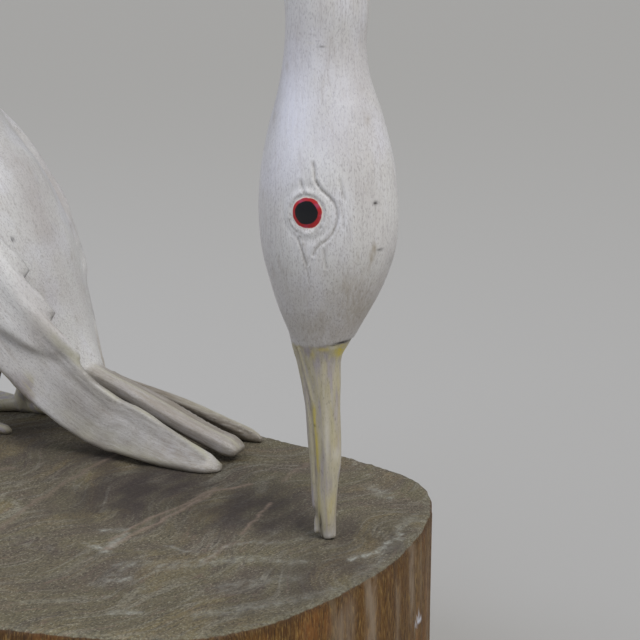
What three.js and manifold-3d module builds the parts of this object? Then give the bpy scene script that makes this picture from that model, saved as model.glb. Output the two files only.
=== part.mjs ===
// A carved and painted wooden egret that stands low on a slice of a tree stump and reaches back
// over its left side, so that its beak points straight down and meets the stump.
// Millimetres, +Z up. The origin is the centre of the stump's underside.
import * as THREE from "three";
import { mergeVertices } from "three/addons/utils/BufferGeometryUtils.js";
import Module from "manifold-3d";

const wasm = await Module();
wasm.setup();

// The stump, with its outline seen from above.
const STUMP_HEIGHT = 95;
const STUMP_ARRIS = 1.2;
const STUMP_SIDES = 84;
const STUMP_OUTLINE = [
  [169, -6], [168, 20], [162, 48], [148, 82], [125, 108], [92, 115], [26, 113.5], [-50, 104],
  [-115, 82], [-160, 40], [-165, -12], [-130, -64], [-72, -102], [0, -121], [60, -121],
  [104, -103], [135, -84], [157, -63], [167, -34],
];

// Everything that rests on the stump stops this far above it.
const REST_GAP = 0.3;

// The beak tip on the stump top, and the way the crown and the left eye of the head look.
const BEAK_TIP = new THREE.Vector2(131.5, 30.5);
const HEAD_TURN = 22.5;

// The bird's body has its own forward direction, and a mid-plane point that distances start from.
const BIRD_HEADING = 197;
const BIRD_ORIGIN = new THREE.Vector2(108.4, 106);
const BODY_TURN = BIRD_HEADING - 180;

// Sections of body and neck, from the tail root to the back of the head: the distance forward of
// the bird's origin, the height over the stump top, and the half sizes across and through.
const BODY_SECTIONS = [
  { forward: 157, height: 26, wide: 5, deep: 4 },
  { forward: 168, height: 33, wide: 15, deep: 11 },
  { forward: 182, height: 43.5, wide: 26, deep: 20 },
  { forward: 198, height: 60, wide: 36, deep: 31 },
  { forward: 215, height: 84, wide: 43, deep: 40 },
  { forward: 232, height: 112, wide: 44, deep: 43 },
];

// Sections of the neck, in the upright plane through the beak tip, by distance from the origin.
const NECK_PLANE = BEAK_TIP.y;
const NECK_SECTIONS = [
  { x: -126.5, y: 5, height: 142, wide: 36, deep: 36, turn: 15 },
  { x: -131.5, y: 3.5, height: 172, wide: 26.5, deep: 27, turn: 12 },
  { x: -127, y: 2.5, height: 204, wide: 21.5, deep: 22.5, turn: 9 },
  { x: -111, y: 1.5, height: 236, wide: 19.5, deep: 20.5, turn: 6 },
  { x: -86, y: 1, height: 263, wide: 18.6, deep: 19.5, turn: 4 },
  { x: -55, y: 0.5, height: 284, wide: 18, deep: 18.8, turn: 2 },
  { x: -20, y: 0, height: 298, wide: 17.5, deep: 18.2, turn: 1 },
  { x: 17, y: 0, height: 305, wide: 17.1, deep: 17.7, turn: 2 },
  { x: 53, y: 0, height: 304, wide: 16.8, deep: 17.3, turn: 5 },
  { x: 86, y: 0, height: 294, wide: 16.6, deep: 17, turn: 10 },
  { x: 111, y: 0, height: 275, wide: 16.5, deep: 16.8, turn: 15 },
  { x: 125.5, y: 0, height: 250, wide: 16.3, deep: 16.5, turn: 19 },
];

// Sections of head and beak by their height over the stump top: how far the centre lies to the
// crown's side, and the half sizes across and through. The last ones are the upper mandible.
const HEAD_SECTIONS = [
  { height: 221, crown: -0.7, wide: 16.2, deep: 16.3 },
  { height: 203, crown: -1.3, wide: 15.7, deep: 15.9 },
  { height: 188.7, crown: -1.6, wide: 16.6, deep: 17.8 },
  { height: 173.4, crown: -1.2, wide: 19, deep: 22.3 },
  { height: 157.9, crown: -0.9, wide: 21.8, deep: 26.1 },
  { height: 142, crown: -0.7, wide: 23, deep: 27.6 },
  { height: 126.3, crown: -0.6, wide: 22.8, deep: 27.2 },
  { height: 114, crown: -1, wide: 20.9, deep: 24.6 },
  { height: 101.9, crown: -2, wide: 17.4, deep: 20.2 },
  { height: 92, crown: -2.6, wide: 13.8, deep: 15.5 },
  { height: 84.5, crown: -3.1, wide: 10.9, deep: 11.7 },
  { height: 78.5, crown: -3.3, wide: 8.8, deep: 9.1 },
  { height: 69, crown: -2.6, wide: 7.3, deep: 7.3 },
  { height: 56.8, crown: -1.7, wide: 6.2, deep: 6.1 },
  { height: 36, crown: -0.7, wide: 5.3, deep: 5.6 },
  { height: 24.9, crown: -0.7, wide: 4.8, deep: 4.8 },
  { height: 13, crown: -0.7, wide: 4.3, deep: 4.4 },
  { height: 5, crown: -0.4, wide: 3.7, deep: 3.9 },
  { height: REST_GAP, crown: 0.2, wide: 2.7, deep: 2.9 },
];

// The lower mandible runs along the throat's side of the beak and ends a little higher.
const LOWER_MANDIBLE_SECTIONS = [
  { height: 96, crown: -12, wide: 6.5, deep: 6 },
  { height: 85.4, crown: -10.4, wide: 6.4, deep: 5.4 },
  { height: 76.6, crown: -9.1, wide: 6, deep: 4.5 },
  { height: 68.6, crown: -8.2, wide: 5.6, deep: 4 },
  { height: 56.8, crown: -6.9, wide: 4.9, deep: 3.6 },
  { height: 36, crown: -5.6, wide: 4, deep: 3.1 },
  { height: 24.9, crown: -5, wide: 3.6, deep: 2.9 },
  { height: 14.5, crown: -4.6, wide: 3.2, deep: 2.5 },
  { height: 12, crown: -4.4, wide: 2.6, deep: 2.1 },
  { height: 4.5, crown: -4.3, wide: 2.3, deep: 1.9 },
  { height: 2, crown: -4.9, wide: 2.1, deep: 1.6 },
];

// The eyes are low domes on both sides of the head.
const EYE_RADIUS = 5.8;
const EYE_RISE = 1.1;
const EYE_HEIGHT = 140.6;
const EYE_CROWN_OFFSET = -1.6;

// Rings and points of the lofts.
const SPINE_STEPS = 3;
const SPINE_SIDES = 20;
const MANDIBLE_SIDES = 12;
const BLADE_STEPS = 2;
const PAD_SIDES = 12;
const LEG_SIDES = 10;

// The long feather that each folded wing lays on the stump, from its tip to the shoulder:
// forward, left of the mid-plane, height, half width, and how far its upper edge leans in.
const NEAR_PRIMARY = [
  [77.5, 23.5, 1.6, 1.5, 50], [83, 27, 3.2, 5.2, 52], [96, 27, 6, 7.4, 42], [112, 26.2, 9.9, 10.1, 28],
  [128, 26, 15.2, 12.8, 18], [142, 26.4, 19, 14, 15], [165, 32, 38, 16, 14], [195, 38, 72, 18, 14],
  [222, 39, 108, 16, 12], [238, 36, 134, 9, 12],
];
const FAR_PRIMARY = [
  [77, -19.5, 1.7, 1.5, 50], [84, -20.5, 2.9, 4.2, 50], [100, -20, 5.6, 7.8, 35], [120, -19.5, 9.4, 10, 25],
  [140, -19, 12.6, 11, 20], [160, -18.5, 16.6, 11.5, 18], [175, -20, 22.5, 12, 18], [197, -33, 62, 17, 14],
  [222, -39, 106, 16, 12], [238, -36, 134, 9, 12],
];
const PRIMARY_THICKNESS = 3.2;

// Shorter feathers lie over the long one, each starting and ending higher.
const FEATHER_COUNT = 3;
const FEATHER_TIP = { forward: 152, left: 27, height: 47 };
const FEATHER_TIP_STEP = { forward: 13, left: 0.5, height: 20 };
const FAR_FEATHER_SHIFT = { forward: 30, left: 0, height: 24 };
const NO_SHIFT = { forward: 0, left: 0, height: 0 };
const FEATHER_ROOT = { forward: 226, left: 37, height: 121 };
const FEATHER_ROOT_STEP = { forward: 3, left: -1.5, height: 9 };
const FEATHER_HALF_WIDTH = 13;
const FEATHER_THICKNESS = 3;
const FEATHER_BULGE = 9;
const FEATHER_LEAN = 14;

// The shoulder of each wing is a smooth pad, from the wing's bend down to its lower end.
const SHOULDER_SECTIONS = [
  [252, 24, 166, 7, 10], [246, 31, 154, 16, 10], [236, 36.5, 135, 22, 10], [221, 39, 111, 22, 10],
  [206, 39, 90, 15, 10], [195, 38, 76, 4, 10],
];
const SHOULDER_THICKNESS = 8;

// The tail is one bar-like feather with a blunt tip: forward, left, height, half width.
const TAIL_SECTIONS = [
  [76, 7, 4.6, 5, 0], [82, 6.8, 6.6, 6.8, 0], [103, 5.6, 13.8, 8, 0], [120, 4.4, 20.3, 8.5, 0],
  [137, 3, 26, 7.4, 0], [160, 1, 33.5, 7, 0], [184, 0, 44, 9, 0],
];
const TAIL_THICKNESS = 4;

// Each leg bends backward at the ankle and stands on three front toes and a hind toe.
const LEG_LEFT = 18;
const LEG_SECTIONS = [
  { forward: 224, height: 76, radius: 15 },
  { forward: 218, height: 58, radius: 12 },
  { forward: 212, height: 43, radius: 7.2 },
  { forward: 210, height: 34, radius: 5.2 },
  { forward: 214, height: 20, radius: 4.4 },
  { forward: 219, height: 5.5, radius: 4.6 },
];
const FOOT_FORWARD = 219;
const TOE_ROOT_RADIUS = 4.2;
const TOE_TIP_RADIUS = 2.2;
const TOES = [
  { angle: -27, length: 36 },
  { angle: 0, length: 42 },
  { angle: 27, length: 36 },
  { angle: 180, length: 19 },
];

const PAINT_COLOUR = 0xc6c4cc;
const PAINT_ROUGHNESS = 0.55;
const STUMP_COLOUR = 0x77583b;
const STUMP_ROUGHNESS = 0.85;

const radians = THREE.MathUtils.degToRad;

/** A point given forward and left of the bird's origin and over the stump top. */
function birdPoint(forward, left, height) {
  const heading = radians(BIRD_HEADING);
  const x = BIRD_ORIGIN.x + forward * Math.cos(heading) - left * Math.sin(heading);
  const y = BIRD_ORIGIN.y + forward * Math.sin(heading) + left * Math.cos(heading);
  return new THREE.Vector3(x, y, STUMP_HEIGHT + height);
}

/** A point of the head, given to the crown's side of the beak tip and over the stump top. */
function headPoint(crown, height) {
  const turn = radians(HEAD_TURN);
  const x = BEAK_TIP.x + crown * Math.cos(turn);
  const y = BEAK_TIP.y + crown * Math.sin(turn);
  return new THREE.Vector3(x, y, STUMP_HEIGHT + height);
}

/** The level direction that the bird's left side faces, after a turn in degrees. */
function leftDirection(turn) {
  return new THREE.Vector3(Math.sin(radians(turn)), -Math.cos(radians(turn)), 0);
}

/** A closed triangle mesh from indexed points, with its faces pointing out. */
function indexedGeometry(points, triangles) {
  let volume = 0;
  for (const [a, b, c] of triangles) {
    volume += points[a].dot(new THREE.Vector3().crossVectors(points[b], points[c]));
  }
  const ordered = volume < 0 ? triangles.map(([a, b, c]) => [a, c, b]) : triangles;
  const geometry = new THREE.BufferGeometry();
  const positions = points.flatMap((point) => point.toArray());
  geometry.setAttribute("position", new THREE.Float32BufferAttribute(positions, 3));
  geometry.setIndex(ordered.flat());
  return geometry;
}

/** A closed body through rings that all have the same number of points. */
function loftGeometry(rings) {
  const sides = rings[0].length;
  const points = rings.flat();
  const triangles = [];
  for (let ring = 0; ring + 1 < rings.length; ring += 1) {
    for (let side = 0; side < sides; side += 1) {
      const next = (side + 1) % sides;
      const a = ring * sides + side;
      const b = ring * sides + next;
      triangles.push([a, b, b + sides], [a, b + sides, a + sides]);
    }
  }
  const lastRing = (rings.length - 1) * sides;
  const first = points.push(ringCentre(rings[0])) - 1;
  const last = points.push(ringCentre(rings[rings.length - 1])) - 1;
  for (let side = 0; side < sides; side += 1) {
    const next = (side + 1) % sides;
    triangles.push([first, next, side], [last, lastRing + side, lastRing + next]);
  }
  return indexedGeometry(points, triangles);
}

/** The middle of a ring of points. */
function ringCentre(ring) {
  const sum = ring.reduce((total, point) => total.add(point), new THREE.Vector3());
  return sum.divideScalar(ring.length);
}

/** An oval ring around a centre, with the half sizes along two directions. */
function ovalRing(centre, across, through, wide, deep, sides) {
  const ring = [];
  for (let side = 0; side < sides; side += 1) {
    const angle = (2 * Math.PI * side) / sides;
    const point = centre.clone();
    point.addScaledVector(across, wide * Math.cos(angle));
    point.addScaledVector(through, deep * Math.sin(angle));
    ring.push(point);
  }
  return ring;
}

/** A flat feather's ring: two broad faces, two narrow edges and a chamfer at each corner. */
function bladeRing(centre, across, through, wide, thick) {
  const corner = Math.min(0.45 * thick, 0.45 * wide);
  const outline = [
    [wide, thick - corner], [wide - corner, thick], [corner - wide, thick], [-wide, thick - corner],
    [-wide, corner - thick], [corner - wide, -thick], [wide - corner, -thick], [wide, corner - thick],
  ];
  return outline.map(([alongWidth, alongThickness]) => {
    const point = centre.clone();
    point.addScaledVector(across, alongWidth);
    point.addScaledVector(through, alongThickness);
    return point;
  });
}

/** Smooth values between sections: the centres as one curve, three sizes as another. */
function smoothSections(centres, sizes, stepsBetween) {
  const centreCurve = new THREE.CatmullRomCurve3(centres, false, "catmullrom", 0.5);
  const sizeCurve = new THREE.CatmullRomCurve3(sizes, false, "catmullrom", 0.5);
  const count = (centres.length - 1) * stepsBetween;
  const sections = [];
  for (let step = 0; step <= count; step += 1) {
    const share = step / count;
    const centre = centreCurve.getPoint(share);
    const tangent = centreCurve.getTangent(share);
    sections.push({ centre, tangent, size: sizeCurve.getPoint(share) });
  }
  return sections;
}

/** A rounded limb whose sections keep one axis near the bird's left direction. */
function ovalLimb(centres, sizes, stepsBetween, sides) {
  const rings = smoothSections(centres, sizes, stepsBetween).map(({ centre, tangent, size }) => {
    const left = leftDirection(size.z);
    const through = new THREE.Vector3().crossVectors(tangent, left).normalize();
    const across = new THREE.Vector3().crossVectors(through, tangent).normalize();
    return ovalRing(centre, across, through, size.x, size.y, sides);
  });
  return loftGeometry(rings);
}

/** Body, neck, head and upper mandible as one smooth form along one bent spine. */
function bodyNeckAndHead() {
  const centres = [];
  const sizes = [];
  for (const { forward, height, wide, deep } of BODY_SECTIONS) {
    centres.push(birdPoint(forward, 0, height));
    sizes.push(new THREE.Vector3(wide, deep, BODY_TURN));
  }
  for (const { x, y, height, wide, deep, turn } of NECK_SECTIONS) {
    centres.push(new THREE.Vector3(x, NECK_PLANE + y, STUMP_HEIGHT + height));
    sizes.push(new THREE.Vector3(wide, deep, turn));
  }
  for (const { height, crown, wide, deep } of HEAD_SECTIONS) {
    centres.push(headPoint(crown, height));
    sizes.push(new THREE.Vector3(wide, deep, HEAD_TURN));
  }
  return ovalLimb(centres, sizes, SPINE_STEPS, SPINE_SIDES);
}

/** The lower mandible, which starts inside the head. */
function lowerMandible() {
  const centres = LOWER_MANDIBLE_SECTIONS.map(({ height, crown }) => headPoint(crown, height));
  const sizes = LOWER_MANDIBLE_SECTIONS.map(
    ({ wide, deep }) => new THREE.Vector3(wide, deep, HEAD_TURN),
  );
  return ovalLimb(centres, sizes, 1, MANDIBLE_SIDES);
}

/** One low eye dome, on the left side of the head with side 1 and on the right with -1. */
function eyeDome(side) {
  const left = leftDirection(HEAD_TURN);
  const headHalf = 22.3;
  const domeRadius = (EYE_RADIUS ** 2 + EYE_RISE ** 2) / (2 * EYE_RISE);
  const centre = headPoint(EYE_CROWN_OFFSET, EYE_HEIGHT);
  const polarShare = Math.asin(EYE_RADIUS / domeRadius);
  const rings = [];
  const eyeSides = 16;
  const eyeRings = 3;
  const up = new THREE.Vector3(0, 0, 1);
  const level = new THREE.Vector3().crossVectors(up, left);
  const sunk = centre.clone().addScaledVector(left, side * (headHalf - 4));
  rings.push(ovalRing(sunk, level, up, EYE_RADIUS, EYE_RADIUS, eyeSides));
  for (let ring = 0; ring < eyeRings; ring += 1) {
    const polar = polarShare * (1 - ring / eyeRings);
    const radius = domeRadius * Math.sin(polar);
    const lift = EYE_RISE - domeRadius * (1 - Math.cos(polar));
    const middle = centre.clone().addScaledVector(left, side * (headHalf + lift));
    rings.push(ovalRing(middle, level, up, radius, radius, eyeSides));
  }
  return loftGeometry(rings);
}

/** A feather or pad along a spine, its width standing on edge and leaning in by some degrees. */
function flatLimb(sections, thickness, side, ringShape) {
  const centres = sections.map(([forward, left, height]) => birdPoint(forward, left, height));
  const tipShare = 0.35;
  const sizes = sections.map(([, , , wide, lean], index) => {
    const thin = index === 0 ? tipShare : 1;
    return new THREE.Vector3(wide, thickness * thin, radians(lean));
  });
  const left = leftDirection(BODY_TURN);
  const rings = smoothSections(centres, sizes, BLADE_STEPS).map(({ centre, tangent, size }) => {
    const upright = new THREE.Vector3().crossVectors(tangent, left).normalize();
    if (upright.z < 0) {
      upright.negate();
    }
    const outward = new THREE.Vector3().crossVectors(tangent, upright).normalize();
    if (outward.dot(left) * side < 0) {
      outward.negate();
    }
    const across = upright.clone().multiplyScalar(Math.cos(size.z));
    across.addScaledVector(outward, -Math.sin(size.z));
    const through = new THREE.Vector3().crossVectors(tangent, across).normalize();
    return ringShape(centre, across, through, size.x, size.y);
  });
  return loftGeometry(rings);
}

/** The sections of one of the shorter feathers, counted upward from the long one. */
function featherSections(index, side, shift) {
  const between = (tip, root, share) => tip + (root - tip) * share;
  const tip = {};
  const root = {};
  for (const key of ["forward", "left", "height"]) {
    tip[key] = FEATHER_TIP[key] + index * FEATHER_TIP_STEP[key] + (1 - 0.3 * index) * shift[key];
    root[key] = FEATHER_ROOT[key] + index * FEATHER_ROOT_STEP[key];
  }
  const shares = [0, 0.12, 0.35, 0.65, 1];
  return shares.map((share) => {
    const bulge = FEATHER_BULGE * Math.sin(Math.PI * share);
    const forward = between(tip.forward, root.forward, share);
    const left = between(tip.left, root.left, share) + bulge;
    const height = between(tip.height, root.height, share) - 0.6 * bulge;
    const wide = FEATHER_HALF_WIDTH * Math.sqrt(Math.sin(Math.PI * (0.015 + 0.6 * share)));
    return [forward, side * left, height, wide, FEATHER_LEAN];
  });
}

/** Everything of one folded wing. */
function wing(side, primary, featherShift) {
  const pieces = [flatLimb(primary, PRIMARY_THICKNESS, side, bladeRing)];
  for (let index = 0; index < FEATHER_COUNT; index += 1) {
    const sections = featherSections(index, side, featherShift);
    pieces.push(flatLimb(sections, FEATHER_THICKNESS, side, bladeRing));
  }
  const mirrored = SHOULDER_SECTIONS.map(([forward, left, height, wide, lean]) => [
    forward, side * left, height, wide, lean,
  ]);
  const padRing = (centre, across, through, wide, thick) =>
    ovalRing(centre, across, through, wide, thick, PAD_SIDES);
  pieces.push(flatLimb(mirrored, SHOULDER_THICKNESS, side, padRing));
  return pieces;
}

/** The tail feather, which lies flat. */
function tail() {
  const lyingRing = (centre, across, through, wide, thick) =>
    bladeRing(centre, through, across, wide, thick);
  return flatLimb(TAIL_SECTIONS, TAIL_THICKNESS, 1, lyingRing);
}

/** One leg with its four toes. */
function leg(side) {
  const left = side * LEG_LEFT;
  const centres = LEG_SECTIONS.map(({ forward, height }) => birdPoint(forward, left, height));
  const sizes = LEG_SECTIONS.map(
    ({ radius }) => new THREE.Vector3(radius, radius, BODY_TURN),
  );
  const pieces = [ovalLimb(centres, sizes, 2, LEG_SIDES)];
  for (const { angle, length } of TOES) {
    pieces.push(toe(left, radians(angle), length));
  }
  return pieces;
}

/** One toe, flat underneath, pointing at an angle from the bird's forward direction. */
function toe(left, angle, length) {
  const shares = [-0.12, 0.15, 0.55, 0.85, 1];
  const rings = shares.map((share) => {
    const radius = THREE.MathUtils.lerp(TOE_ROOT_RADIUS, TOE_TIP_RADIUS, Math.max(share, 0));
    const round = share === 1 ? 0.5 : 1;
    const forward = FOOT_FORWARD + share * length * Math.cos(angle);
    const sideways = left + share * length * Math.sin(angle);
    const ring = [];
    for (let side = 0; side < LEG_SIDES; side += 1) {
      const turn = (2 * Math.PI * side) / LEG_SIDES;
      const offset = radius * round * Math.cos(turn);
      const lift = radius * (1 + round * Math.sin(turn));
      const low = Math.max(lift, 0.25 * radius) - 0.25 * radius;
      const point = birdPoint(
        forward - offset * Math.sin(angle),
        sideways + offset * Math.cos(angle),
        REST_GAP + low,
      );
      ring.push(point);
    }
    return ring;
  });
  return loftGeometry(rings);
}

/** The stump, a slice of a trunk with an uneven outline and a crisp upper edge. */
function stump() {
  const outline = STUMP_OUTLINE.map(([x, y]) => new THREE.Vector3(x, y, 0));
  const curve = new THREE.CatmullRomCurve3(outline, true, "centripetal");
  const plan = curve.getSpacedPoints(STUMP_SIDES).slice(0, STUMP_SIDES);
  const level = (height, inset) => plan.map((point) => {
    const scale = 1 - inset / Math.hypot(point.x, point.y);
    return new THREE.Vector3(point.x * scale, point.y * scale, height);
  });
  const rings = [
    level(0, STUMP_ARRIS),
    level(STUMP_ARRIS, 0),
    level(STUMP_HEIGHT - STUMP_ARRIS, 0),
    level(STUMP_HEIGHT, STUMP_ARRIS),
  ];
  return loftGeometry(rings);
}

/** A solid that can be joined, from a closed geometry. */
function toSolid(geometry) {
  const merged = mergeVertices(geometry, 1e-4);
  const mesh = new wasm.Mesh({
    numProp: 3,
    vertProperties: new Float32Array(merged.attributes.position.array),
    triVerts: new Uint32Array(merged.index.array),
  });
  return new wasm.Manifold(mesh);
}

/** A block under the rest height, which takes off whatever would reach into the stump. */
function restBlock() {
  const depth = 20;
  const block = new THREE.BoxGeometry(2 * STUMP_OUTLINE[0][0], 2 * STUMP_OUTLINE[0][0], depth);
  block.translate(0, 0, STUMP_HEIGHT + REST_GAP - depth / 2);
  block.deleteAttribute("normal");
  block.deleteAttribute("uv");
  return block;
}

/** The joined form of several closed geometries, flat where it rests. */
function joined(geometries) {
  let solid = toSolid(geometries[0]);
  for (const geometry of geometries.slice(1)) {
    solid = solid.add(toSolid(geometry));
  }
  const mesh = solid.subtract(toSolid(restBlock())).getMesh();
  const geometry = new THREE.BufferGeometry();
  geometry.setAttribute("position", new THREE.BufferAttribute(new Float32Array(mesh.vertProperties), 3));
  geometry.setIndex(new THREE.BufferAttribute(new Uint32Array(mesh.triVerts), 1));
  return geometry;
}

/** A named mesh with its own material. */
function namedMesh(name, geometry, color, roughness) {
  const material = new THREE.MeshStandardMaterial({ color, roughness, metalness: 0 });
  const mesh = new THREE.Mesh(geometry, material);
  mesh.name = name;
  return mesh;
}

const egretPieces = [
  bodyNeckAndHead(),
  lowerMandible(),
  eyeDome(1),
  eyeDome(-1),
  ...wing(1, NEAR_PRIMARY, NO_SHIFT),
  ...wing(-1, FAR_PRIMARY, FAR_FEATHER_SHIFT),
  tail(),
  ...leg(1),
  ...leg(-1),
];

const sculpture = new THREE.Group();
sculpture.add(namedMesh("egret", joined(egretPieces), PAINT_COLOUR, PAINT_ROUGHNESS));
sculpture.add(namedMesh("stump_base", stump(), STUMP_COLOUR, STUMP_ROUGHNESS));

export default sculpture;
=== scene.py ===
"""Carved and painted wooden egret that reaches back over its side to meet its stump.

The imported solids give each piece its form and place. This script carves their surfaces finer,
dresses them in worn paint, bare side wood and weathered end grain, and lights them softly.
Relief is worked out in millimetres, and Blender's own lengths are metres.
"""

import logging
import math
from dataclasses import dataclass, field
from enum import Enum

import bpy
import numpy as np
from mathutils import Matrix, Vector
from mathutils.kdtree import KDTree


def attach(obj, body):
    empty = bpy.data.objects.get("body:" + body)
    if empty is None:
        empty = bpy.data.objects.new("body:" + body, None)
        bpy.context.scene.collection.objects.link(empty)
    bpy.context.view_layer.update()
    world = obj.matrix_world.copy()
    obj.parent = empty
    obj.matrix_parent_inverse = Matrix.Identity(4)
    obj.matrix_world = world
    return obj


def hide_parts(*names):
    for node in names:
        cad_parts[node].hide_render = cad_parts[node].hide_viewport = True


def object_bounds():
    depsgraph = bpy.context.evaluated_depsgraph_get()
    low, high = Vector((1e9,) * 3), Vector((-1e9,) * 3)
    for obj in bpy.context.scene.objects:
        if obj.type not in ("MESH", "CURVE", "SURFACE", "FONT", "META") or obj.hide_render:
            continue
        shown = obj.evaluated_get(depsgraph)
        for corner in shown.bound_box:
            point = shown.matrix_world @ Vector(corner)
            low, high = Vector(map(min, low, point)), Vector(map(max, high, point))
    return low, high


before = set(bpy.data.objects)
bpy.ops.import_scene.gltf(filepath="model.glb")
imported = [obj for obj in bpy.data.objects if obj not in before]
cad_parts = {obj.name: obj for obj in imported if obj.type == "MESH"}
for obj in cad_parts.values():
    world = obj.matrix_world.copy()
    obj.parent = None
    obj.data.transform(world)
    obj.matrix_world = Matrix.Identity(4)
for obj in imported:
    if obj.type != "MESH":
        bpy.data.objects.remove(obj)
CAD_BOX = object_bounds()

logging.basicConfig(level=logging.INFO, format="%(message)s")
LOG = logging.getLogger("egret")

# Short names for types that many hints use.
Array = np.ndarray
Tree = bpy.types.NodeTree
Socket = bpy.types.NodeSocket
Pair = tuple[float, float]
Triple = tuple[float, float, float]
Line = tuple[Pair, ...]
Sections = tuple[tuple[float, float, float, float], ...]

MM = 0.001
STUMP_TOP = 95.0
# How far thinning may throw a point off the surface before it is put back, in millimetres.
LARGEST_SLIP = 2.5
# Points less far than this from the beak's tip, towards throat or crown, are the head's.
HEAD_REACH = 60.0
# How far the bird's body and its head are turned from the part's x axis, in degrees.
BODY_TURN = 17.0
HEAD_TURN = 22.5
# How far out the main limb's surface lies, as a share of its section, with a little to spare.
LIMB_EDGE = 1.05
# How much a normal has to look sideways for its point to count as on the head's side.
SIDEWAYS = 0.3
# A distance that stands for none found, in millimetres.
FAR_AWAY = 1e9
# How many samples a limb's curve has between two stations.
SAMPLES_PER_SPAN = 12


class Layer(Enum):
    """Names of the values that the meshes carry for their materials."""

    GRAIN = "grain"
    GROOVE = "groove"
    BEAK = "beak"
    # Dirt in the hollows, with painted shade there and along head edges and feathers.
    MOUTH = "mouth"
    STAIN = "stain"
    FEATHER = "feather"
    DARK = "dark"
    RIDGE = "ridge"
    SCUFF = "scuff"
    WORN = "worn"
    RIM = "rim"
    FLECK = "fleck"
    # Painted highlight on the upper head.
    CHALK = "painted_highlight"


def linear(shade: str) -> tuple[float, float, float, float]:
    """Turns an sRGB hex colour into linear RGBA.

    Args:
        shade: six hex digits, with or without a leading hash sign.

    Returns:
        The linear red, green, blue and an alpha of one.
    """
    digits = shade.lstrip("#")
    channels = [int(digits[i : i + 2], 16) / 255 for i in (0, 2, 4)]
    straight = [c / 12.92 if c <= 0.04045 else ((c + 0.055) / 1.055) ** 2.4 for c in channels]
    return (straight[0], straight[1], straight[2], 1.0)


def add_node(
    tree: Tree, kind: str, settings: dict | None = None, links: dict | None = None
) -> bpy.types.Node:
    """Adds a shader node, with its settings and its incoming links.

    Args:
        tree: the node tree that takes the node.
        kind: Blender's name of the node type, without its leading ShaderNode.
        settings: properties by name, and input values by name or number.
        links: sockets to link from, by the name or number of the input.

    Returns:
        The new node.
    """
    node = tree.nodes.new("ShaderNode" + kind)
    for key, value in (settings or {}).items():
        if isinstance(key, str) and hasattr(node, key):
            setattr(node, key, value)
        else:
            node.inputs[key].default_value = value
    for key, socket in (links or {}).items():
        tree.links.new(socket, node.inputs[key])
    return node


def new_material(name: str) -> tuple[bpy.types.Material, Tree, bpy.types.Node]:
    """Makes a material, and gives it with its node tree and its main shader."""
    material = bpy.data.materials.new(name)
    material.use_nodes = True
    return material, material.node_tree, material.node_tree.nodes["Principled BSDF"]


def smooth_step(low: float | Array, high: float | Array, values: Array) -> Array:
    """Rises smoothly from nought at low to one at high, or falls where low is the larger."""
    share = np.clip((values - low) / (high - low), 0.0, 1.0)
    return share * share * (3.0 - 2.0 * share)


def bell(values: Array, middle: float | Array, width: float) -> Array:
    """A smooth hump: one at the middle and about a third of that a width away from it."""
    return np.exp(-(((values - middle) / width) ** 2))


def ripple(points: Array, period: Triple, seed: int) -> Array:
    """Smooth seeded noise between about minus one and one.

    Args:
        points: positions in millimetres, one row each.
        period: the pattern's size along each axis, in millimetres.
        seed: picks the pattern.

    Returns:
        One value for each point.
    """
    source = np.random.default_rng(seed)
    waves = 9
    total = np.zeros(len(points))
    scaled = points / np.array(period)
    for _ in range(waves):
        direction = source.normal(size=3)
        direction *= source.uniform(0.6, 1.6) / np.linalg.norm(direction)
        total += np.sin(2 * math.pi * (scaled @ direction) + source.uniform(0, 2 * math.pi))
    return total / math.sqrt(waves)


def distance_to_line(points: Array, line: Line) -> Array:
    """Distance from flat points to a bent line.

    Args:
        points: two columns.
        line: the line's corner points.

    Returns:
        The distance of each point.
    """
    nearest = np.full(len(points), FAR_AWAY)
    for start, end in zip(line, line[1:]):
        first = np.array(start)
        run = np.array(end) - first
        share = np.clip(((points - first) @ run) / (run @ run), 0.0, 1.0)
        gap = np.linalg.norm(points - first - share[:, None] * run, axis=1)
        nearest = np.minimum(nearest, gap)
    return nearest


def tree_of(points: Array) -> KDTree:
    """Puts points in a tree that finds the one nearest to a place."""
    tree = KDTree(len(points))
    for index, point in enumerate(points):
        tree.insert(point, index)
    tree.balance()
    return tree


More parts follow.
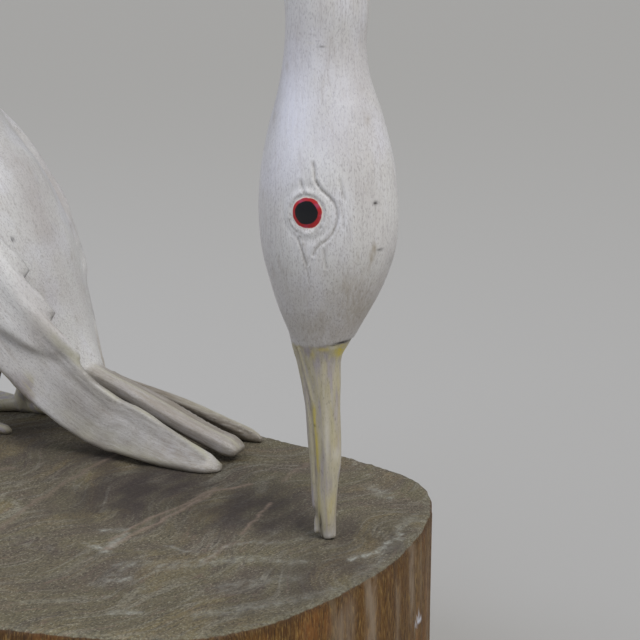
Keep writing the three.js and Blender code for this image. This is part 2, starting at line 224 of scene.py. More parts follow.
@dataclass
class Carving:
    """A piece's mesh as arrays in millimetres, to be carved and written back."""

    piece: bpy.types.Object
    points: Array = field(init=False)
    normals: Array = field(init=False)

    def __post_init__(self) -> None:
        """Reads the piece's points and normals."""
        self.read()

    def read(self) -> None:
        """Reads points and normals from the mesh."""
        mesh = self.piece.data
        count = len(mesh.vertices)
        flat = np.zeros(count * 3, np.float32)
        mesh.vertices.foreach_get("co", flat)
        self.points = flat.reshape(-1, 3).astype(float) / MM
        mesh.vertex_normals.foreach_get("vector", flat)
        self.normals = flat.reshape(-1, 3).astype(float)

    def write(self) -> None:
        """Writes the points back inside the part's box and refreshes the normals."""
        mesh = self.piece.data
        low, high = (np.array(corner) / MM for corner in CAD_BOX)
        self.points = np.clip(self.points, low, high)
        mesh.vertices.foreach_set("co", (self.points * MM).astype(np.float32).ravel())
        mesh.update()
        self.read()

    def push(self, amount: Array) -> None:
        """Moves each point along its normal by an amount in millimetres."""
        self.points += self.normals * amount[:, None]

    def edges(self) -> tuple[Array, Array, Array]:
        """Both ends of each edge, and how many neighbours each point has, but at least one."""
        mesh = self.piece.data
        ends = np.zeros(len(mesh.edges) * 2, np.int64)
        mesh.edges.foreach_get("vertices", ends)
        first, second = ends.reshape(-1, 2).T
        count = len(mesh.vertices)
        neighbours = np.bincount(first, minlength=count) + np.bincount(second, minlength=count)
        return first, second, np.maximum(neighbours, 1)

    def relax(self, reach: Array, spacing: float, most_rounds: int) -> None:
        """Evens the surface out, over a reach in millimetres that each point has of its own.

        Args:
            reach: how far the evening spreads at each point.
            spacing: the mesh's own spacing.
            most_rounds: how many rounds the widest reach may take.
        """
        first, second, neighbours = self.edges()
        count = len(self.points)
        full = 0.6
        rounds = int(min(most_rounds, np.max(reach) ** 2 / (full * spacing**2 / 2)))
        strength = np.minimum(full, reach**2 / (rounds * spacing**2 / 2))[:, None]
        for _ in range(rounds):
            total = np.zeros_like(self.points)
            for axis in range(3):
                values = self.points[:, axis]
                total[:, axis] = np.bincount(first, values[second], count)
                total[:, axis] += np.bincount(second, values[first], count)
            self.points += strength * (total / neighbours[:, None] - self.points)

    def soften(self, values: Array, rounds: int) -> Array:
        """Spreads values to neighbouring points, so that patches have no hard edge.

        Args:
            values: one number for each point.
            rounds: how often the values are spread.

        Returns:
            The softened values.
        """
        first, second, neighbours = self.edges()
        count = len(values)
        for _ in range(rounds):
            total = np.bincount(first, values[second], count)
            total += np.bincount(second, values[first], count)
            values = 0.5 * values + 0.5 * total / neighbours
        return values

    def carry(self, layer: Layer, values: Array) -> None:
        """Stores values on the mesh for its material, one number or one vector a point."""
        kind = "FLOAT_VECTOR" if values.ndim == 2 else "FLOAT"
        key = "vector" if values.ndim == 2 else "value"
        stored = self.piece.data.attributes.new(layer.value, kind, "POINT")
        stored.data.foreach_set(key, values.astype(np.float32).ravel())


def select_only(piece: bpy.types.Object) -> None:
    """Makes one object the only selected and the active one."""
    bpy.ops.object.select_all(action="DESELECT")
    piece.select_set(True)
    bpy.context.view_layer.objects.active = piece


def copy_of_node(node: str, name: str) -> bpy.types.Object:
    """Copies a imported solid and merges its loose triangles.

    Args:
        node: the solid's name.
        name: the new piece's name.

    Returns:
        The copy, with a closed mesh of its own.
    """
    piece = bpy.data.objects.new(name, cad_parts[node].data.copy())
    bpy.context.scene.collection.objects.link(piece)
    piece.data.materials.clear()
    select_only(piece)
    bpy.ops.object.mode_set(mode="EDIT")
    bpy.ops.mesh.select_all(action="SELECT")
    bpy.ops.mesh.remove_doubles(threshold=0.002 * MM)
    bpy.ops.mesh.customdata_custom_splitnormals_clear()
    bpy.ops.object.mode_set(mode="OBJECT")
    return piece


def remesh(piece: bpy.types.Object, voxel: float) -> None:
    """Gives a piece an even mesh.

    Args:
        piece: the piece, with a closed mesh.
        voxel: the even mesh's spacing in millimetres.
    """
    select_only(piece)
    modifier = piece.modifiers.new("even mesh", "REMESH")
    modifier.mode = "VOXEL"
    modifier.voxel_size = voxel * MM
    modifier.use_smooth_shade = True
    bpy.ops.object.modifier_apply(modifier=modifier.name)


def pull_back(piece: bpy.types.Object, before: Array) -> None:
    """Puts points that thinning threw off the surface back to their nearest former place.

    Args:
        piece: the thinned piece.
        before: the points in millimetres before thinning.
    """
    tree = tree_of(before)
    carving = Carving(piece)
    for index, point in enumerate(carving.points):
        place, _, gap = tree.find(point)
        if gap > LARGEST_SLIP:
            carving.points[index] = place
    carving.write()


def thin_out(piece: bpy.types.Object, triangles: int, keep: Array) -> None:
    """Takes triangles away where the surface is plain.

    Args:
        piece: the piece.
        triangles: about how many triangles may stay.
        keep: for each point, from nought to one, how much its mesh is to be kept.
    """
    before = Carving(piece).points
    select_only(piece)
    group = piece.vertex_groups.new(name="thin")
    steps = 8
    for step in range(steps + 1):
        members = np.nonzero(np.round((1 - keep) * steps) == step)[0]
        group.add(members.tolist(), step / steps, "REPLACE")
    now = sum(len(polygon.vertices) - 2 for polygon in piece.data.polygons)
    if now > triangles:
        modifier = piece.modifiers.new("thinned", "DECIMATE")
        modifier.ratio = triangles / now
        modifier.vertex_group = group.name
        modifier.vertex_group_factor = 4.0
        bpy.ops.object.modifier_apply(modifier=modifier.name)
    piece.vertex_groups.clear()
    piece.data.shade_smooth()
    pull_back(piece, before)


@dataclass(frozen=True)
class BirdFrame:
    """The bird's own directions: forward, left and up from a point in its mid-plane."""

    origin: Pair = (108.4, 106.0)
    heading: float = math.radians(180 + BODY_TURN)

    @property
    def ahead(self) -> Array:
        """The level direction that the bird's breast faces."""
        return np.array([math.cos(self.heading), math.sin(self.heading), 0.0])

    @property
    def left(self) -> Array:
        """The level direction that the bird's left wing faces."""
        return np.array([-math.sin(self.heading), math.cos(self.heading), 0.0])

    def point(self, forward: float, left: float, height: float) -> Triple:
        """Turns a place on the bird into a place in the part's frame.

        Args:
            forward: the distance towards the breast, in millimetres.
            left: the distance towards the left wing.
            height: the height above the stump.

        Returns:
            The place's x, y and z in millimetres.
        """
        x = self.origin[0] + forward * math.cos(self.heading) - left * math.sin(self.heading)
        y = self.origin[1] + forward * math.sin(self.heading) + left * math.cos(self.heading)
        return (x, y, STUMP_TOP + height)

    def places(self, points: Array) -> Array:
        """Turns points of the part's frame into places on the bird.

        Args:
            points: positions in millimetres.

        Returns:
            Forward, left and height of each point.
        """
        along = np.array([math.cos(self.heading), math.sin(self.heading)])
        across = np.array([-math.sin(self.heading), math.cos(self.heading)])
        offset = points[:, :2] - np.array(self.origin)
        return np.column_stack([offset @ along, offset @ across, points[:, 2] - STUMP_TOP])


@dataclass(frozen=True)
class HeadFrame:
    """The head's own directions. The head hangs straight down from the neck."""

    tip: Pair = (131.5, 30.5)
    turn: float = math.radians(HEAD_TURN)

    @property
    def crown(self) -> Array:
        """The level direction from throat to crown."""
        return np.array([math.cos(self.turn), math.sin(self.turn), 0.0])

    @property
    def left(self) -> Array:
        """The level direction that the left eye faces."""
        return np.array([math.sin(self.turn), -math.cos(self.turn), 0.0])

    def places(self, points: Array) -> Array:
        """Turns points of the part's frame into places on the head.

        Args:
            points: positions in millimetres.

        Returns:
            Each point's distance towards crown and left from the beak's tip, and its height.
        """
        offset = points - np.array([self.tip[0], self.tip[1], STUMP_TOP])
        return np.column_stack([offset @ self.crown, offset @ self.left, offset[:, 2]])


BIRD = BirdFrame()
HEAD = HeadFrame()


@dataclass(frozen=True)
class Limb:
    """A spine with the half sizes across and through it, in millimetres.

    Each station is x, y, z, half width and half depth. The side direction turns from that of
    the body to that of the head. Evening is how many rounds of smoothing the spine gets.
    """

    stations: tuple[tuple[float, float, float, float, float], ...]
    turns: tuple[float, ...]
    evening: int = 0

    def samples(self) -> dict[str, Array]:
        """Takes fine samples along a smooth curve through the stations.

        Returns:
            By name: the centres, their tangent, across and through directions, the half sizes
            across and through, and the distance along the spine.
        """
        table = np.column_stack([np.array(self.stations), np.array(self.turns)])
        padded = np.vstack([2 * table[0] - table[1], table, 2 * table[-1] - table[-2]])
        spans = len(table) - 1
        steps = np.linspace(0, spans, spans * SAMPLES_PER_SPAN + 1)
        base = np.minimum(steps.astype(int), spans - 1)
        share = (steps - base)[:, None]
        a, b, c, d = (padded[base + shift] for shift in range(4))
        rows = 0.5 * (
            2 * b
            + (c - a) * share
            + (2 * a - 5 * b + 4 * c - d) * share**2
            + (3 * b - a - 3 * c + d) * share**3
        )
        for _ in range(self.evening):
            rows[1:-1] = 0.25 * rows[:-2] + 0.5 * rows[1:-1] + 0.25 * rows[2:]
        centre = rows[:, :3]
        tangent = np.gradient(centre, axis=0)
        tangent /= np.linalg.norm(tangent, axis=1, keepdims=True)
        turn = np.radians(rows[:, 5])
        left = np.column_stack([np.sin(turn), -np.cos(turn), np.zeros(len(turn))])
        through = np.cross(tangent, left)
        through /= np.linalg.norm(through, axis=1, keepdims=True)
        across = np.cross(through, tangent)
        along = np.concatenate([[0], np.cumsum(np.linalg.norm(np.diff(centre, axis=0), axis=1))])
        return {
            "centre": centre,
            "tangent": tangent,
            "across": across,
            "through": through,
            "wide": rows[:, 3],
            "deep": rows[:, 4],
            "along": along,
        }

    def straighten(self, points: Array) -> tuple[Array, Array, Array]:
        """Places of points as if the limb were straight.

        Args:
            points: positions in millimetres.

        Returns:
            The across, through and along distances, then how far out each point lies as a
            share of the section there, then the section's mean half size.
        """
        spine = self.samples()
        tree = tree_of(spine["centre"])
        nearest = np.array([tree.find(point)[1] for point in points])
        offset = points - spine["centre"][nearest]
        local = np.column_stack(
            [
                np.einsum("ij,ij->i", offset, spine["across"][nearest]),
                np.einsum("ij,ij->i", offset, spine["through"][nearest]),
                np.einsum("ij,ij->i", offset, spine["tangent"][nearest]) + spine["along"][nearest],
            ]
        )
        wide = spine["wide"][nearest]
        deep = spine["deep"][nearest]
        out = np.hypot(local[:, 0] / wide, local[:, 1] / deep)
        return local, out, np.sqrt(wide * deep)


@dataclass(frozen=True)
class CarvedLine:
    """A shallow cut on the left side of the head, or on both sides where on_right is set.

    Its points are crown and height, and all lengths are millimetres.
    """

    points: Line
    width: float
    depth: float
    on_right: bool = True


@dataclass(frozen=True)
class Spot:
    """A soft-edged oval on the left side of the head or beak, or on both with on_right.

    Its middle is crown and height, and all lengths are millimetres.
    """

    layer: Layer
    crown: float
    height: float
    wide: float
    tall: float
    strength: float
    on_right: bool = False

    def cover(self, head: Array, looks_left: Array) -> Array:
        """How strongly each point is covered.

        Args:
            head: crown, left and height of each point.
            looks_left: how far each point's normal looks to the left.

        Returns:
            One value for each point.
        """
        spread = ((head[:, 0] - self.crown) / self.wide) ** 2
        spread += ((head[:, 2] - self.height) / self.tall) ** 2
        facing = self.on_right | (looks_left > -0.15)
        return np.where(facing, self.strength * np.exp(-spread), 0)


@dataclass(frozen=True)
class Mottle:
    """A colour that shows where a noise pattern is strong.

    The periods are the pattern's size in millimetres along the three axes it is laid on. Sink
    says how far the colour lies below the ground, where one is the deepest.
    """

    period: Triple
    low: float
    high: float
    colour: str
    strength: float
    place: float
    detail: float = 2.0
    swirl: float = 0.0
    sink: float = 1.0


@dataclass(frozen=True)
class Coat:
    """A colour laid where the mesh carries a layer, and how far a noise breaks it up."""

    layer: Layer
    shade: str
    breaks: float = 0.0

    def lay(
        self,
        tree: Tree,
        colour: Socket,
        noise: Socket | None = None,
        gate: Pair = (0.0, 1.0),
        pattern: Socket | None = None,
    ) -> Socket:
        """Lays the coat over a colour.

        Args:
            tree: the material's node tree.
            colour: the colour socket underneath.
            noise: the noise that breaks the coat up.
            gate: the noise values at which the coat is most broken and whole.
            pattern: a colour socket to lay instead of the plain colour.

        Returns:
            The new colour socket.
        """
        amount = add_node(tree, "Attribute", {"attribute_name": self.layer.value}).outputs["Fac"]
        if self.breaks > 0:
            whole = add_node(
                tree,
                "MapRange",
                {"From Min": gate[0], "From Max": gate[1], "To Min": 1 - self.breaks},
                {"Value": noise},
            )
            amount = add_node(
                tree,
                "Math",
                {"operation": "MULTIPLY"},
                {0: amount, 1: whole.outputs["Result"]},
            ).outputs[0]
        mix = add_node(
            tree, "Mix", {"data_type": "RGBA", 7: linear(self.shade)}, {0: amount, 6: colour}
        )
        if pattern is not None:
            tree.links.new(pattern, mix.inputs[7])
        return mix.outputs[2]


@dataclass(frozen=True)
class PaintedWood:
    """Old thin gouache-like paint on carved wood: a soft satin skin, rubbed and streaky."""

    name: str = "worn white paint on carved wood"
    ground: str = "#D9D8D6"
    beak_ground: str = "#B4AC93"
    # Grey brown for dirt in the hollows, also laid as painted shade in the cut lines, along head
    # edges and on the feathers.
    dirt_and_shade: str = "#72695C"
    stain: str = "#94866F"
    # Cream for the feathers' top edges: yellowed paint with a painted highlight where the edges
    # face up.
    feather_edge: str = "#C4C1A8"
    yellow: str = "#CDBB42"
    rubbed: str = "#DAD7D3"
    pit: str = "#2B2726"
    rim: str = "#E0D6CB"
    iris: str = "#AE1E22"
    pale_iris: str = "#A93A55"
    # Bluish white laid as a painted highlight on the upper head.
    painted_highlight: str = "#E8EAF8"
    pupil: str = "#06080F"
    roughness: float = 0.4
    ior: float = 1.46
    bump: float = 0.5
    relief: float = 0.25
    streak: Triple = (1.1, 1.1, 9)
    broad_coats: tuple[Mottle, ...] = (
        Mottle((34, 34, 60), 0.42, 0.68, "#BBB4B2", 0.6, 3.0, sink=0.0),
        Mottle((18, 18, 30), 0.5, 0.76, "#DFDFE8", 0.6, 11.0, sink=0.0),
    )
    coats: tuple[Mottle, ...] = (
        Mottle((0.9, 0.9, 17), 0.5, 0.78, "#A39C9C", 0.46, 5.0, 4.0, sink=0.5),
        Mottle((0.55, 0.55, 1.3), 0.5, 0.74, "#8E8889", 0.46, 8.0, 1.0, sink=0.6),
        Mottle((0.6, 0.6, 3.2), 0.67, 0.78, "#6A6463", 0.4, 23.0, 1.0),
        Mottle((3.2, 3.2, 20), 0.58, 0.8, "#A2988C", 0.4, 17.0, sink=0.2),
        Mottle((0.45, 0.45, 8), 0.62, 0.76, "#DFDDE2", 0.5, 29.0, 1.0, sink=-0.4),
    )
    beak_coats: tuple[Mottle, ...] = (
        Mottle((3.6, 3.6, 34), 0.47, 0.62, "#9B93A0", 0.7, 2.0, sink=0.0),
        Mottle((2.2, 2.2, 15), 0.5, 0.68, "#A8A178", 0.42, 6.0, 4.0, sink=0.1),
        Mottle((1.1, 1.1, 16), 0.56, 0.74, "#C4C1B5", 0.4, 9.0, sink=0.2),
        Mottle((0.6, 0.6, 2.0), 0.58, 0.74, "#6B6454", 0.45, 14.0, 1.0),
    )

    def build(self, eye: "Eye") -> bpy.types.Material:
        """Makes the material.

        Args:
            eye: the eye that the paint goes round.

        Returns:
            The finished material.
        """
        # A satin white skin with wide soft highlights, greyed by dirt that lies in its grain, with
        # a painted highlight on the upper head and dirt with painted shade in hollows, along head
        # edges and on the feathers.
        material, tree, shader = new_material(self.name)
        shader.inputs["IOR"].default_value = self.ior
        place = add_node(tree, "TexCoord").outputs["Object"]
        grain = add_node(tree, "Attribute", {"attribute_name": Layer.GRAIN.value}).outputs["Vector"]
        broad = lay_mottles(tree, place, self.ground, self.broad_coats)
        colour, height = lay_mottles(tree, grain, self.ground, self.coats, broad)
        beak, _ = lay_mottles(tree, grain, self.beak_ground, self.beak_coats)
        streaks = add_node(
            tree,
            "Mapping",
            {"Scale": tuple(1 / (size * MM) for size in self.streak)},
            {"Vector": grain},
        )
        broken = add_node(
            tree, "TexNoise", {"Scale": 1.0, "Detail": 3.0}, {"Vector": streaks.outputs["Vector"]}
        )
        coats = (
            Coat(Layer.CHALK, self.painted_highlight, 0.25),
            Coat(Layer.STAIN, self.stain, 0.45),
            Coat(Layer.BEAK, self.beak_ground, 0.15),
            Coat(Layer.FEATHER, self.feather_edge, 0.3),
            Coat(Layer.WORN, self.rubbed, 0.45),
            Coat(Layer.MOUTH, self.yellow, 0.4),
            Coat(Layer.GROOVE, self.dirt_and_shade, 0.3),
            Coat(Layer.DARK, self.pit),
        )
        for coat in coats:
            pattern = beak if coat.layer is Layer.BEAK else None
            colour = coat.lay(tree, colour, broken.outputs["Fac"], (0.32, 0.62), pattern)
        colour, gloss = eye.paint(tree, colour, self)
        bump = add_node(
            tree,
            "Bump",
            {"Strength": self.bump, "Distance": self.relief * MM},
            {"Height": height},
        )
        tree.links.new(colour, shader.inputs["Base Color"])
        tree.links.new(gloss, shader.inputs["Roughness"])
        tree.links.new(bump.outputs["Normal"], shader.inputs["Normal"])
        return material


def lay_mottles(
    tree: Tree,
    coordinates: Socket,
    ground: str,
    mottles: tuple[Mottle, ...],
    below: tuple[Socket | None, Socket | None] = (None, None),
) -> tuple[Socket, Socket]:
    """Lays noise-shaped colours over a ground colour, one after the other.

    Args:
        tree: the material's node tree.
        coordinates: the socket that gives the pattern's place, in metres.
        ground: the colour underneath.
        mottles: the colours to lay.
        below: the colour and height sockets to start from, where there are any.

    Returns:
        The colour socket and a height socket that sinks where the patterns are strong.
    """
    colour, height = below
    for mottle in mottles:
        scale = tuple(1 / (period * MM) for period in mottle.period)
        placed = add_node(
            tree,
            "Mapping",
            {"Scale": scale, "Location": (mottle.place, -mottle.place, 0.5 * mottle.place)},
            {"Vector": coordinates},
        )
        noise = add_node(
            tree,
            "TexNoise",
            {"Scale": 1.0, "Detail": mottle.detail, "Roughness": 0.6, "Distortion": mottle.swirl},
            {"Vector": placed.outputs["Vector"]},
        )
        mask = add_node(
            tree,
            "MapRange",
            {"From Min": mottle.low, "From Max": mottle.high, "To Max": mottle.strength},
            {"Value": noise.outputs["Fac"]},
        ).outputs["Result"]
        mix = add_node(
            tree,
            "Mix",
            {"data_type": "RGBA", 6: linear(ground), 7: linear(mottle.colour)},
            {0: mask},
        )
        if colour is not None:
            tree.links.new(colour, mix.inputs[6])
        colour = mix.outputs[2]
        sunk = add_node(
            tree, "Math", {"operation": "MULTIPLY_ADD", 1: -mottle.sink, 2: 1.0}, {0: mask}
        ).outputs[0]
        if height is None:
            height = sunk
        else:
            height = add_node(
                tree, "Math", {"operation": "MULTIPLY"}, {0: height, 1: sunk}
            ).outputs[0]
    return colour, height


@dataclass(frozen=True)
class Profile:
    """A rounded ridge, or a groove where the rise is negative, across a measured distance.

    It also serves as the strength of a colour that is laid along such a ridge or groove.
    """

    middle: float
    width: float
    rise: float

    def at(self, distance: Array) -> Array:
        """The rise at each distance."""
        return self.rise * bell(distance, self.middle, self.width)


@dataclass(frozen=True)
class Eye:
    """A painted eye on each side of the head: black pupil, red ring and a pale cracked rim."""

    crown: float = -1.6
    height: float = 140.6
    radius: float = 5.9
    pupil_radius: float = 4.5
    pupil_crown: float = -0.12
    pupil_height: float = 0.15
    rim_radius: float = 6.25
    base: float = 22.25
    rise: float = 1.1
    wobble: float = 0.5
    wobble_period: float = 3.5
    soft_edge: float = 0.15
    rings: tuple[Profile, ...] = (
        Profile(6.5, 0.55, -0.45),
        Profile(7.9, 0.8, 0.22),
        Profile(10.2, 1.5, -0.25),
    )

    def paint(self, tree: Tree, colour: Socket, paint: PaintedWood) -> tuple[Socket, Socket]:
        """Paints rim, ring and pupil over the head's colour.

        Args:
            tree: the material's node tree.
            colour: the colour socket so far.
            paint: the paint, which holds the colours.

        Returns:
            The colour socket and the roughness socket.
        """
        place = add_node(tree, "TexCoord").outputs["Object"]
        centre = np.array([*HEAD.tip, STUMP_TOP]) + HEAD.crown * self.crown
        centre[2] += self.height
        offset = add_node(
            tree, "VectorMath", {"operation": "SUBTRACT", 1: tuple(centre * MM)}, {0: place}
        ).outputs["Vector"]
        noise = add_node(
            tree,
            "TexNoise",
            {"Scale": 1 / (self.wobble_period * MM), "Detail": 1.0},
            {"Vector": place},
        ).outputs["Fac"]
        uneven = add_node(
            tree,
            "MapRange",
            {"To Min": -self.wobble * MM, "To Max": self.wobble * MM},
            {"Value": noise},
        ).outputs["Result"]
        faded = add_node(tree, "MapRange", {"From Min": 0.5, "From Max": 0.62}, {"Value": noise})
        red = add_node(
            tree,
            "Mix",
            {"data_type": "RGBA", 6: linear(paint.iris), 7: linear(paint.pale_iris)},
            {0: faded.outputs["Result"]},
        ).outputs[2]
        discs = (
            (0.0, 0.0, self.rim_radius, paint.rim, 0.55),
            (0.0, 0.0, self.radius, paint.iris, 0.42),
            (self.pupil_crown, self.pupil_height, self.pupil_radius, paint.pupil, 0.32),
        )
        gloss = None
        for crown, height, radius, shade, roughness in discs:
            shift = tuple((HEAD.crown * crown + np.array([0, 0, height])) * MM)
            mask = self.disc(tree, offset, shift, radius, uneven)
            mix = add_node(
                tree, "Mix", {"data_type": "RGBA", 7: linear(shade)}, {0: mask, 6: colour}
            )
            if shade is paint.iris:
                tree.links.new(red, mix.inputs[7])
            colour = mix.outputs[2]
            sheen = add_node(
                tree,
                "Mix",
                {"data_type": "FLOAT", 2: paint.roughness, 3: roughness},
                {0: mask},
            )
            if gloss is not None:
                tree.links.new(gloss, sheen.inputs[2])
            gloss = sheen.outputs[0]
        return colour, gloss

    def disc(
        self, tree: Tree, offset: Socket, shift: Triple, radius: float, uneven: Socket
    ) -> Socket:
        """Makes a mask of a round spot with a slightly ragged edge.

        Args:
            tree: the material's node tree.
            offset: the socket with the place from the eye's middle, in metres.
            shift: the spot's own middle from there, in metres.
            radius: the spot's radius in millimetres.
            uneven: the socket that shifts the edge in or out, in metres.

        Returns:
            The socket that is one inside the spot.
        """
        local = add_node(
            tree, "VectorMath", {"operation": "SUBTRACT", 1: shift}, {0: offset}
        ).outputs["Vector"]
        across = add_node(
            tree, "VectorMath", {"operation": "DOT_PRODUCT", 1: tuple(HEAD.crown)}, {0: local}
        )
        parts = add_node(tree, "SeparateXYZ", {}, {0: local})
        flat = add_node(
            tree, "CombineXYZ", {}, {"X": across.outputs["Value"], "Z": parts.outputs["Z"]}
        )
        reach = add_node(
            tree, "VectorMath", {"operation": "LENGTH"}, {0: flat.outputs["Vector"]}
        ).outputs["Value"]
        ragged = add_node(tree, "Math", {"operation": "ADD"}, {0: reach, 1: uneven}).outputs[0]
        inner, outer = radius - self.soft_edge, radius + self.soft_edge
        mask = add_node(
            tree, "MapRange", {"From Min": outer * MM, "From Max": inner * MM}, {"Value": ragged}
        )
        return mask.outputs["Result"]

    def carve(self, head: Array, looks_left: Array) -> tuple[Array, Array]:
        """Works out the eye's relief.

        Args:
            head: crown, left and height of each point.
            looks_left: how far each point's normal looks to the left, from -1 to 1.

        Returns:
            The new distance from the mid-plane inside the disc, or nan outside it, and the
            push outward along the normal elsewhere.
        """
        reach = self.reach(head)
        level = np.full(len(head), np.nan)
        inside = (reach < self.radius) & (np.abs(looks_left) > 0.5)
        level[inside] = self.base + self.rise * (1 - (reach[inside] / self.radius) ** 2)
        return level, sum(ring.at(reach) for ring in self.rings)

    def reach(self, head: Array) -> Array:
        """How far each point lies from the eye's axis, in millimetres."""
        return np.hypot(head[:, 0] - self.crown, head[:, 2] - self.height)


